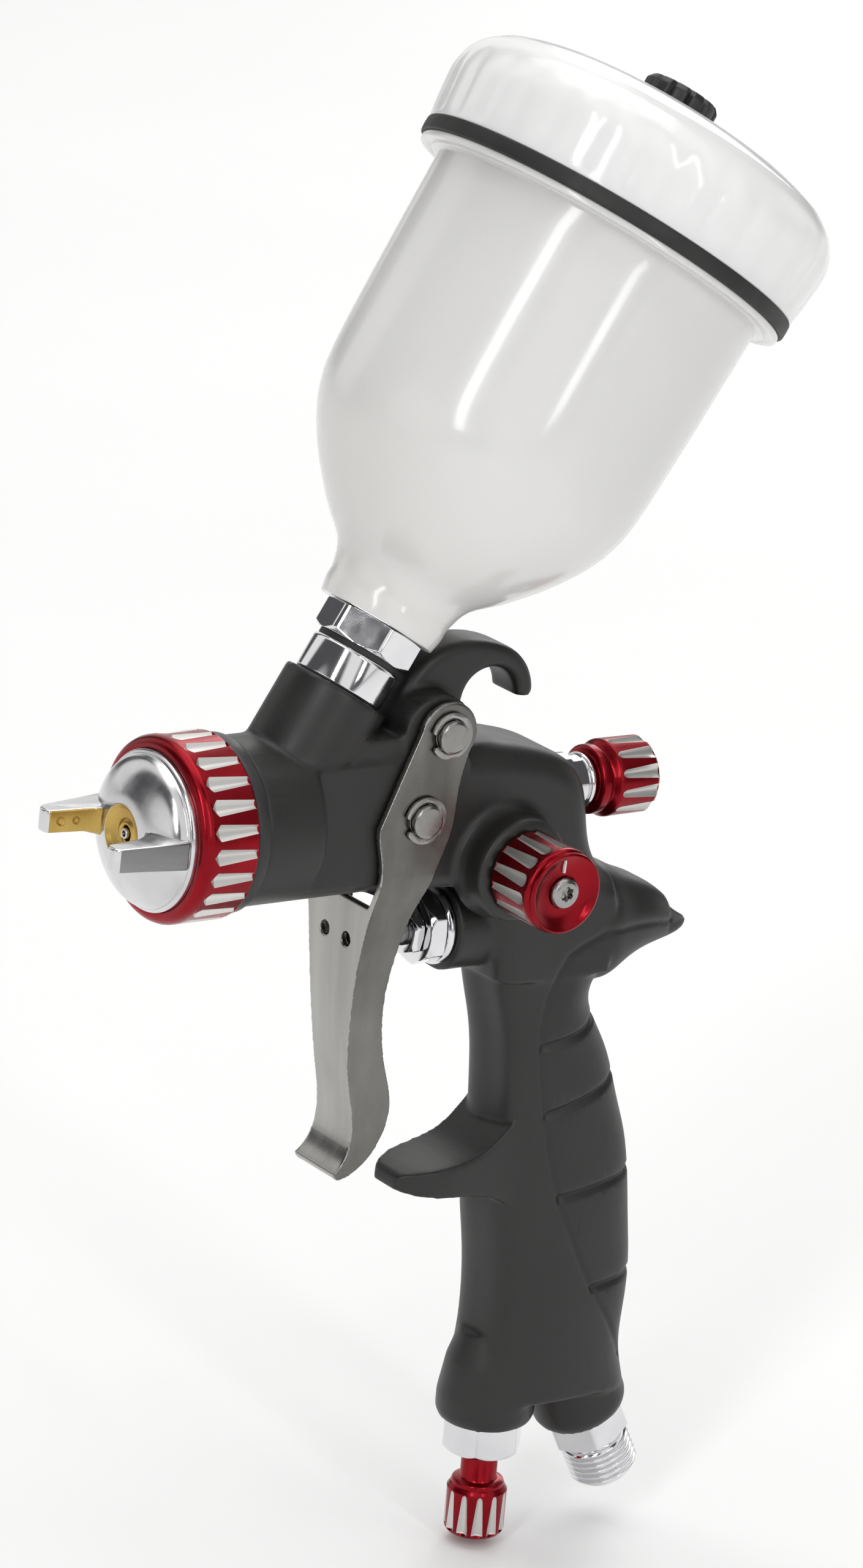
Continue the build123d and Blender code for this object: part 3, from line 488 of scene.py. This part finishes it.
def slab(name, points, low, high, bevel, segments=3):
    """A flat outline given thickness along Z, with rounded edges."""
    work = bmesh.new()
    bottom = [work.verts.new((x * mm, y * mm, low * mm)) for x, y in points]
    face = work.faces.new(bottom)
    raised = bmesh.ops.extrude_face_region(work, geom=[face])
    tops = [item for item in raised["geom"] if isinstance(item, bmesh.types.BMVert)]
    bmesh.ops.translate(work, verts=tops, vec=(0, 0, (high - low) * mm))
    bmesh.ops.recalc_face_normals(work, faces=work.faces)
    mesh = bpy.data.meshes.new(name)
    work.to_mesh(mesh)
    work.free()
    return settled(name, mesh, ("BEVEL", {"width": bevel * mm, "segments": segments,
                                          "limit_method": "ANGLE", "angle_limit": radians(30)}))


def remodelled(node, voxel, smoothing):
    """A CAD node's shape as an even mesh with softened edges, in the row frame."""
    source = frame["nodes"][node]
    mesh = source.data.copy()
    mesh.materials.clear()
    mesh.transform(source.matrix_world)
    return settled(node, mesh, ("REMESH", {"mode": "VOXEL", "voxel_size": voxel * mm}),
                   ("SMOOTH", {"factor": 0.5, "iterations": smoothing}))


# ---- body -----------------------------------------------------------------------------------------
panel_border = [(68.4, -27.2), (62.0, -26.1), (57.2, -25.8), (50.3, -25.8), (45.0, -27.8), (41.9, -29.5),
                (39.7, -33.1), (38.4, -36.9), (38.1, -41.6), (38.3, -46.3), (39.0, -51.1), (40.5, -59.1),
                (42.0, -64.5), (43.2, -69.4), (44.8, -74.4), (46.3, -78.5), (47.9, -82.0), (50.0, -85.9),
                (52.8, -91.2), (55.4, -95.5), (58.9, -100.2), (61.9, -104.4), (67.0, -112.0)]
panel_top = -24
panel_foot = -112
grip_grooves = [((38.5, -47.3), (56.0, -42.6)), ((41.0, -60.6), (62.5, -54.0)),
                ((45.6, -77.0), (66.5, -74.2)), ((55.6, -96.0), (69.5, -94.8))]


def line_distance(x, z, a, b):
    """Distance of points from the stretch between a and b."""
    ax, az = a
    bx, bz = b
    length = (bx - ax) ** 2 + (bz - az) ** 2
    near = np.clip(((x - ax) * (bx - ax) + (z - az) * (bz - az)) / length, 0, 1)
    return np.hypot(x - ax - near * (bx - ax), z - az - near * (bz - az))


def from_border(x, z):
    """Distance of points from the panels' border, and 1 behind it or -1 in front of it."""
    nearest = np.full(len(x), np.inf)
    behind = np.zeros(len(x))
    for a, b in zip(panel_border, panel_border[1:]):
        distance = line_distance(x, z, a, b)
        side = (b[0] - a[0]) * (z - a[1]) - (b[1] - a[1]) * (x - a[0])
        behind = np.where(distance < nearest, np.sign(side), behind)
        nearest = np.minimum(nearest, distance)
    return nearest, behind


def hollow(distance, half, depth):
    """A smooth channel's depth at a distance from its middle."""
    s = np.clip(distance / half, 0, 1)
    return depth * (1 - s * s) ** 2


def step_up(value, low, high):
    """Rises smoothly from 0 at low to 1 at high."""
    s = np.clip((value - low) / (high - low), 0, 1)
    return s * s * (3 - 2 * s)


def make_body():
    """The casting: blended edges, pressed-in grip panels with their border and grooves."""
    mesh = remodelled("gun_body", 0.5, 6)
    count = len(mesh.vertices)
    points = np.empty(count * 3)
    normals = np.empty(count * 3)
    mesh.vertices.foreach_get("co", points)
    mesh.vertices.foreach_get("normal", normals)
    points = points.reshape(-1, 3)
    normals = normals.reshape(-1, 3)
    x = points[:, 0] / mm - barrel.x
    z = points[:, 2] / mm - barrel.z
    border = from_border(x, z)[0]
    flank = step_up(np.abs(normals[:, 1]), 0.1, 0.4)
    sunk = hollow(border, 0.75, 0.4) * flank
    for a, b in grip_grooves:
        reach = (b[1] - a[1]) / (b[0] - a[0])
        off = np.abs(z - a[1] - reach * (x - a[0])) / sqrt(1 + reach * reach)
        open_part = step_up(x, a[0] - 0.4, a[0] + 0.6) * step_up(normals[:, 0] + 1.2 * flank, 0.0, 0.5)
        sunk += hollow(off, 1.15, 0.75) * open_part
    beak = step_up(x, 66.6, 67.3) * step_up(z, -30.0, -28.0)
    sunk += 0.9 * beak
    points -= normals * (sunk * mm)[:, None]
    mesh.vertices.foreach_set("co", points.reshape(-1))
    mesh.update()
    mesh = settled("gun_body", mesh, ("DECIMATE", {"ratio": 0.42}))
    centres = np.array([face.center[:] for face in mesh.polygons]) / mm
    face_x = centres[:, 0] - barrel.x
    face_z = centres[:, 2] - barrel.z
    behind = from_border(face_x, face_z)[1]
    in_panel = (behind > 0) & (face_z < panel_top) & (face_z > panel_foot)
    mesh.polygons.foreach_set("material_index", in_panel.astype(int))
    add_piece("gun_casting", "gun_body", mesh, [coat, grip_coat], sharp=60)


make_body()

# ---- cup and lid ----------------------------------------------------------------------------------
turned("collar", "socket_collar", cup_axis,
       [(4.2, 17.9), (5.5, 17.9), (5.5, 25.9), (7.9, 25.9), (8.3, 26.3), (8.3, 32.4), (7.8, 32.9),
        (4.2, 32.9)], [chrome], 0.3)
turned("hex_adapter", "cup_adapter", cup_axis,
       [(3.0, 20.0), (4.15, 20.0), (4.15, 33.8)] + hex_rows(16.4, 33.8, 39.4, 0.8, 0.2)
       + [(5.9, 39.4), (5.9, 46.0), (3.0, 46.0)], [chrome], 0.1, 144, hexed(16.4, radians(12), 33.75, 39.45))
cup_outside = [(11.0, 39.4), (11.5, 42.0), (11.6, 44.6), (13.2, 48.8), (17.6, 53.0), (23.0, 59.2),
               (27.2, 65.6), (29.6, 71.5), (30.6, 78.0), (31.2, 92.0), (31.8, 115.6)]
cup_inside = [(29.9, 114.0), (29.4, 92.0), (28.6, 78.5), (27.6, 73.0), (24.8, 67.0), (19.8, 60.4),
              (13.6, 53.8), (10.2, 48.4)]
turned("paint_cup", "cup", cup_axis,
       [(5.9, 39.4), (10.4, 39.4)] + curve_rows(cup_outside)
       + [(33.4, 115.8), (33.5, 116.3), (34.6, 116.0), (35.7, 116.0), (35.7, 117.2), (33.6, 117.2),
          (33.6, 128.6), (31.8, 128.6), (31.8, 117.4)] + curve_rows(cup_inside)
       + [(3.6, 48.4), (3.6, 46.0), (5.9, 46.0)], [cup_plastic], 0.35, 144, sharp=50)
turned("band", "lid_band", cup_axis,
       [(33.9, 117.2), (36.3, 117.2), (36.4, 118.4), (36.35, 120.0), (33.9, 120.0)], [rubber], 0.35, 144)


def lid_shape(r, d, a):
    """Shallow finger flutes round the lid's skirt, fading into its shoulder."""
    fade = max(0.0, min(1.0, (d - 120.4) / 1.5)) * max(0.0, min(1.0, (135.5 - d) / 4.0))
    return r if r < 35 else r - 0.3 * fade * (0.5 + 0.5 * cos(30 * a)) ** 2


lid_outside = [(36.3, 120.6), (36.75, 123.5), (37.05, 126.5), (37.3, 129.6), (37.0, 132.0), (36.3, 134.0),
               (35.0, 135.9), (33.2, 137.4), (31.0, 138.7), (25.0, 140.6), (14.5, 142.3), (8.2, 142.65)]
turned("cup_lid", "lid", cup_axis,
       [(33.9, 120.0), (36.2, 120.0)] + curve_rows(lid_outside)
       + [(7.8, 142.3), (7.3, 142.3), (7.0, 142.7), (3.0, 142.7), (3.0, 140.4), (14.5, 140.0), (25.0, 138.4),
          (30.6, 136.2), (33.4, 130.0), (33.4, 129.2), (33.9, 129.2)], [lid_plastic], 0.3, 240, lid_shape, 50)


def vent_shape(r, d, a):
    """Scallops round the vent cap."""
    return r if r < 5.5 else r - 0.75 * max(0.0, cos(12 * a)) ** 3


turned("vent_plug", "vent_cap", cup_axis,
       [(0, 137), (2.95, 137), (2.95, 142.8), (6.6, 142.8), (7.0, 143.2), (7.0, 145.4), (6.2, 146.4),
        (4.6, 146.6), (4.2, 146.2), (0, 146.2)], [black_plastic], 0.25, 192, vent_shape)

# ---- nose -----------------------------------------------------------------------------------------
turned("barrel_end", "head_ring", spray,
       [(13.4, -33.8), (15.2, -33.8), (15.7, -33.5), (15.8, -32.9), (15.8, -31.3), (15.5, -31.0),
        (13.4, -31.0)], [black_plastic], 0.2, 128)
ring_flute = flute_rows(16.5, -43.1, -34.3, (1.55, 0.75), (1.0, 0.5), 1.0, 0.0, True)
fluted("cap_ring", "air_cap_ring", spray,
       plain([(13.45, -39.2), (14.9, -39.2), (14.9, -43.9), (14.35, -44.1), (14.3, -45.2), (14.8, -45.3),
              (15.5, -45.2), (16.1, -44.7), (16.45, -43.9), (16.5, -43.4)], 0.4)
       + ring_flute + plain([(16.4, -34.1), (16.2, -33.9), (15.6, -33.9), (13.45, -33.9)], 0.75),
       24, [red, milled])
cap_profile = ([(12.4, -41.5), (14.7, -41.5), (14.7, -43.9), (14.2, -43.9), (14.2, -46.0), (13.9, -46.4),
                (13.55, -46.4), (13.5, -46.9)]
               + curve_rows([(13.35, -47.2), (12.9, -48.0), (12.0, -48.9), (10.6, -49.8), (8.9, -50.6),
                             (7.0, -51.2), (5.5, -51.45)])
               + [(5.15, -51.5, 1), (4.9, -51.3, 1), (4.3, -50.75, 1), (3.3, -50.45, 1), (2.6, -50.3, 1),
                  (2.3, -50.55, 1), (1.95, -50.7, 1), (1.6, -50.65, 1), (1.35, -50.3, 1), (1.35, -49.0),
                  (7.0, -47.6), (11.4, -46.0), (12.4, -45.0)])
turned("cap_dome", "air_cap", spray, cap_profile, [nickel, brass], 0.12, 144)


def make_horn(way):
    """One of the cap's horns: a blunt finger with two air holes whose dark centres are painted shade, brass
    on its inner face.
    """
    outline = [(-46.6, 12.0), (-46.6, 14.0), (-53.0, 13.5), (-59.9, 12.7), (-60.8, 11.7), (-60.8, 10.1),
               (-60.2, 9.2), (-53.6, 8.4), (-52.0, 7.6), (-50.9, 6.2), (-50.3, 5.4), (-48.6, 6.6)]
    heights = [3.3, 2.5, 2.3, 2.15, 2.05, 2.05, 2.1, 2.2, 2.35, 2.6, 2.8, 3.3]
    work = bmesh.new()
    low = [work.verts.new((x * mm, way * y * mm, -h * mm)) for (x, y), h in zip(outline, heights)]
    high = [work.verts.new((x * mm, way * y * mm, h * mm)) for (x, y), h in zip(outline, heights)]
    work.faces.new(low)
    work.faces.new(high)
    total = len(outline)
    for i in range(total):
        k = (i + 1) % total
        face = work.faces.new((low[i], low[k], high[k], high[i]))
        face.material_index = 1 if 6 <= i <= 9 else 2 if i in (1, 2) else 0
    bmesh.ops.recalc_face_normals(work, faces=work.faces)
    mesh = bpy.data.meshes.new("horn")
    work.to_mesh(mesh)
    work.free()
    mesh = settled("horn", mesh, ("BEVEL", {"width": 0.42 * mm, "segments": 4, "limit_method": "ANGLE",
                                            "angle_limit": radians(25)}))
    side_name = "left" if way < 0 else "right"
    add_piece("horn_" + side_name, "air_cap", mesh, [nickel, brass, dull_nickel],
              Matrix.Translation(barrel * mm), 30, False)
    for number, (place, radius) in enumerate(((-58.0, 0.62), (-55.1, 0.5))):
        inner = 8.72 - 0.12 * (place + 58.0)
        hole = axis_frame(place, 0, (0, -way, 0), up, way * inner)
        turned("horn_hole_%s_%d" % (side_name, number), "air_cap", hole,
               [(radius + 0.22, -0.3), (radius + 0.18, 0.06), (radius, 0.04), (radius * 0.72, -0.25),
                (radius * 0.7, -1.4), (radius + 0.22, -1.4)], [brass], 0.05, 32, stands_in=False)
        # A black disc set a little way down each hole is painted shade: it stands in for the dark of the open
        # bore and uses the black plastic material.
        turned("horn_hole_painted_shade_%s_%d" % (side_name, number), "air_cap", hole,
               [(0, -0.55), (radius * 0.7, -0.5), (radius * 0.7, -0.8), (0, -0.8)], [black_plastic], 0.02, 32,
               stands_in=False)


make_horn(1)
make_horn(-1)
turned("spray_nozzle", "fluid_nozzle", spray,
       [(2.6, -27), (4.9, -27), (4.9, -38.9), (3.6, -38.9), (3.6, -40.6), (6.4, -40.6), (6.4, -43.6),
        (4.2, -44.2), (2.1, -48.0), (1.0, -49.2), (0.95, -50.9), (0.85, -51.0), (0.55, -51.0), (0.5, -50.8),
        (0.5, -49.8), (2.6, -45.5)], [nozzle_steel], 0.06, 64)

# ---- controls -------------------------------------------------------------------------------------
turned("sleeve", "rear_sleeve", spray,
       [(2.65, 33.0), (5.5, 33.0), (5.5, 43.0), (4.8, 43.0), (4.8, 45.7), (4.5, 45.9), (4.5, 46.1),
        (5.0, 46.2), (5.15, 46.6), (5.1, 47.1), (4.7, 47.4), (2.65, 47.4)], [chrome], 0.12)
fluted("rear_knob", "fluid_knob", spray,
       plain([(2.65, 53.1), (2.65, 47.6), (5.2, 47.6), (5.9, 47.75), (6.3, 48.2), (6.35, 49.0), (6.3, 49.6),
              (5.9, 50.0), (5.85, 50.4), (6.2, 50.8), (6.9, 51.2), (7.08, 51.5)], 0.5)
       + flute_rows(7.1, 51.8, 59.5, (0.65, 1.3), (0.55, 0.95), 0.9, 0.0)
       + [(6.95, 59.8, 1.25, 0.82), (6.6, 60.2, 1.0, 0.46)]
       + plain([(6.15, 60.5), (5.6, 60.6), (5.2, 60.55), (4.8, 60.3), (0, 60.3)], 0.8)
       + plain([(0, 53.1)], 0.8),
       12, [red, milled], radians(8))
fluted("fan_control_knob", "fan_knob", fan,
       plain([(2.0, 24.0), (2.0, 16.8), (7.0, 16.8), (7.5, 16.85)], 0.6)
       + flute_rows(7.75, 17.0, 26.2, (0.62, 1.22), (0.45, 1.0), 0.0, 1.0)
       + plain([(7.8, 26.6), (7.75, 27.1), (7.5, 27.4), (7.3, 27.6), (7.4, 27.9), (7.5, 28.2), (7.35, 28.55),
                (7.0, 28.7), (6.7, 28.6), (6.2, 28.2), (5.0, 27.75), (3.4, 27.55), (3.05, 27.6), (3.0, 27.4),
                (3.0, 27.0), (1.2, 27.0), (1.2, 24.0)], 0.9),
       14, [red, milled], radians(-4))


def star_shape(r, d, a):
    """A six-lobed driver recess in the screw's head."""
    return r + 0.17 * cos(6 * a) if 0.5 < r < 1.4 and d > 26.9 else r


turned("knob_screw", "fan_screw", fan,
       [(0, 20.4), (1.2, 20.4), (1.2, 27.0), (2.85, 27.0), (2.9, 28.2), (2.6, 28.75), (2.0, 28.95),
        (1.32, 29.0), (1.2, 28.8), (1.15, 27.6), (0, 27.3)], [turned_steel], 0.1, 96, star_shape)
index_mesh = slab("index", [(3.7, -0.2), (6.2, -0.2), (6.2, 0.2), (3.7, 0.2)], 27.5, 28.05, 0.05)
index_turn = Matrix.Rotation(radians(7), 4, "Z")
for point in index_mesh.vertices:
    point.co.z += max(0.0, point.co.x / mm - 4.6) * 0.28 * mm
add_piece("index_line", "fan_knob", index_mesh, [index_paint], fan @ index_turn, stands_in=False)

fluted("foot_knob", "regulator_knob", regulator,
       plain([(0, 7.8), (1.85, 7.8), (1.85, 18.0), (3.4, 18.0), (3.4, 0.3), (3.6, -0.05), (4.2, -0.15),
              (4.75, -0.4), (4.95, -0.8), (4.9, -1.2), (5.2, -1.5), (5.4, -1.9)], 0.35)
       + flute_rows(5.6, -2.1, -9.7, (0.42, 1.05), (0.35, 0.68), 0.8, 0.0)
       + [(5.55, -9.95, 1.0, 0.55)]
       + plain([(5.4, -10.3), (5.0, -10.75), (4.4, -10.8), (4.0, -10.6), (0, -10.6)], 0.8),
       12, [red, milled])

# ---- trigger --------------------------------------------------------------------------------------
trigger_mesh = settled("trigger", remodelled("trigger", 0.26, 5), ("DECIMATE", {"ratio": 0.45}))
# Faces that look sideways, the trigger's cheeks, take the darker steel.
for face in trigger_mesh.polygons:
    if abs(face.normal.y) > 0.72:
        face.material_index = 1
add_piece("trigger_lever", "trigger", trigger_mesh, [steel, cheek_steel], sharp=50)
turned("pivot_rod", "pivot_pin", pivot,
       [(0, -13.7), (2.2, -13.7), (2.6, -13.65), (3.0, -13.45), (3.05, -13.2), (3.05, -12.75), (2.5, -12.65),
        (2.5, -12.0), (3.05, -12.0), (3.05, 12.0), (2.5, 12.0), (2.5, 12.65), (3.05, 12.75), (3.05, 13.2),
        (3.0, 13.45), (2.6, 13.65), (2.2, 13.7), (0, 13.7)], [turned_steel], 0.08)
for way, label in ((1, "left"), (-1, "right")):
    turned("drive_stud_" + label, "drive_pins", drive,
           [(0, way * 2.2), (3.05, way * 2.2), (3.05, way * 12.0), (2.5, way * 12.0), (2.5, way * 12.65),
            (3.05, way * 12.75), (3.05, way * 13.2), (3.0, way * 13.45), (2.6, way * 13.65),
            (2.2, way * 13.7), (0, way * 13.7)], [turned_steel], 0.08, stands_in=way > 0)


def clip_outline():
    """A snap ring open towards angle 0, with a bulb at each end and a tongue between."""
    made = []
    for step in range(25):
        a = radians(28 + 304 * step / 24)
        made.append((4.35 * cos(a), 4.35 * sin(a)))
    for end in (-28, 28):
        a = radians(end)
        middle = Vector((3.75 * cos(a), 3.75 * sin(a)))
        for step in range(1, 6):
            b = a + (pi * step / 6 if end < 0 else pi + pi * step / 6)
            made.append((middle.x + 0.62 * cos(b), middle.y + 0.62 * sin(b)))
        if end < 0:
            for step in range(25):
                b = radians(-30 - 300 * step / 24)
                made.append((3.15 * cos(b), 3.15 * sin(b)))
    return made


for node, place in (("pivot_clips", pivot), ("drive_clips", drive)):
    for way, label in ((1, "left"), (-1, "right")):
        low, high = (12.0, 12.65) if way > 0 else (-12.65, -12.0)
        clip_mesh = slab("clip", clip_outline(), low, high, 0.14, 2)
        add_piece(node + "_" + label, node, clip_mesh, [turned_steel],
                  place @ Matrix.Rotation(radians(100), 4, "Z"), stands_in=way > 0)

# ---- air valve ------------------------------------------------------------------------------------
turned("valve_hex", "valve_housing", valve,
       [(2.85, 12.8)] + hex_rows(12.4, 12.8, 16.3, 0.9, 0.3)
       + [(5.9, 16.35), (6.6, 16.4), (7.0, 16.9), (7.0, 17.5), (6.7, 17.95), (5.5, 18.0), (5.5, 29.0),
          (2.85, 29.0)], [chrome], 0.12, 144, hexed(12.4, 0.0, 12.7, 16.32))
turned("gland_hex", "valve_gland", valve,
       [(2.85, 10.4)] + hex_rows(8.6, 10.4, 12.7, 0.5, 0.2) + [(4.0, 12.7), (4.0, 16.0), (2.85, 16.0)],
       [chrome], 0.08, 144, hexed(8.6, radians(10), 10.3, 12.65))
turned("valve_rod", "valve_stem", valve,
       [(0, -2.2, 1), (0.8, -2.2, 1), (2.3, -1.6, 1), (2.8, -1.0, 1), (2.8, -0.3), (2.8, 6.6), (2.5, 6.8),
        (2.5, 7.4), (2.8, 7.6), (2.8, 29.4), (1.6, 29.4), (1.6, 34.0), (0, 34.0)],
       [dark_steel, turned_steel], 0.1)

# ---- handle foot ----------------------------------------------------------------------------------
turned("regulator_hex", "regulator_housing", regulator,
       [(3.45, 5.4), (5.4, 5.4), (6.1, 5.55), (6.25, 5.8)] + hex_rows(13.6, 5.85, 12.2, 0.9, 0.1)
       + [(5.0, 12.2), (5.0, 22.0), (3.45, 22.0)], [chrome], 0.15, 144,
       hexed(13.6, radians(-14), 5.82, 12.25))


def thread_rows(low, high, root, crest, pitch):
    """Profile rows of a thread, seen from the side, its first and last turns run out."""
    made = []
    for step in range(int((high - low) / pitch * 8) + 1):
        d = high - step * pitch / 8
        tooth = (0.0, 0.0, 0.35, 0.95, 1.0, 1.0, 0.95, 0.35)[step % 8]
        ends = min(1.0, (high - d) / pitch * 1.4, (d - low) / pitch * 2.2)
        made.append((root + (crest - root) * tooth * max(0.0, ends), d))
    return made


turned("threaded_inlet", "air_inlet", inlet,
       [(3.6, 0.4), (3.9, 0.0), (5.3, 0.0), (5.6, 0.25)] + thread_rows(0.5, 9.0, 5.62, 6.55, 1.337)[::-1]
       + [(5.45, 9.3), (5.5, 9.85)] + hex_rows(13.8, 9.9, 15.8, 0.7, 0.1)
       + [(5.5, 15.8), (5.5, 30.0), (3.6, 30.0)], [chrome], 0.06, 144,
       hexed(13.8, radians(5), 9.88, 15.85), 50)


# ---- studio ---------------------------------------------------------------------------------------
def make_world():
    """Soft white studio light with darker bands, so that plated metal has something to reflect."""
    world = bpy.data.worlds.new("studio")
    bpy.context.scene.world = world
    world.use_nodes = True
    tree = world.node_tree
    back = tree.nodes["Background"]
    place = tree.nodes.new("ShaderNodeTexCoord")
    wave = tree.nodes.new("ShaderNodeTexWave")
    wave.wave_type = "BANDS"
    wave.bands_direction = "X"
    wave.inputs["Scale"].default_value = 0.42
    wave.inputs["Distortion"].default_value = 1.2
    wave.inputs["Detail"].default_value = 1.0
    wave.inputs["Detail Scale"].default_value = 0.8
    ramp = tree.nodes.new("ShaderNodeValToRGB")
    ramp.color_ramp.elements[0].position = 0.28
    ramp.color_ramp.elements[0].color = (0.10, 0.10, 0.105, 1)
    ramp.color_ramp.elements[1].position = 0.62
    ramp.color_ramp.elements[1].color = (1.0, 0.995, 0.98, 1)
    tree.links.new(place.outputs["Generated"], wave.inputs["Vector"])
    tree.links.new(wave.outputs["Fac"], ramp.inputs["Fac"])
    tree.links.new(ramp.outputs["Color"], back.inputs["Color"])
    back.inputs["Strength"].default_value = 0.93


def add_floor():
    """A wide pale floor under the gun."""
    mesh = bpy.data.meshes.new("floor")
    z = cad_box[0][2] - 0.002
    mesh.from_pydata([(-4, -4, z), (4, -4, z), (4, 4, z), (-4, 4, z)], [], [(0, 1, 2, 3)])
    pale = Surface("floor", 0.9, 0.0, Specular_IOR_Level=0.1)
    mottled(pale, (0.93, 0.93, 0.93), (0.95, 0.95, 0.95), 3)
    mesh.materials.append(pale.material)
    floor = bpy.data.objects.new("floor", mesh)
    bpy.context.collection.objects.link(floor)


def add_light(name, place, width, height, power):
    """A soft box that faces the gun; sizes in metres, power in watts."""
    data = bpy.data.lights.new(name, "AREA")
    data.shape = "RECTANGLE"
    data.size = width
    data.size_y = height
    data.energy = power
    lamp = bpy.data.objects.new(name, data)
    lamp.location = place
    lamp.rotation_euler = (look_at - Vector(place)).to_track_quat("-Z", "Y").to_euler()
    bpy.context.collection.objects.link(lamp)


make_world()
add_floor()
add_light("key", (-1.5, -0.9, 1.0), 0.22, 1.3, 8.5)
add_light("side", (-0.2, -1.6, 0.9), 0.14, 1.3, 5)
add_light("top", (0.1, 0.2, 1.8), 1.6, 1.6, 14)
add_light("back", (1.4, 1.2, 1.0), 0.8, 1.2, 8)
bpy.context.scene.view_settings.view_transform = "Standard"
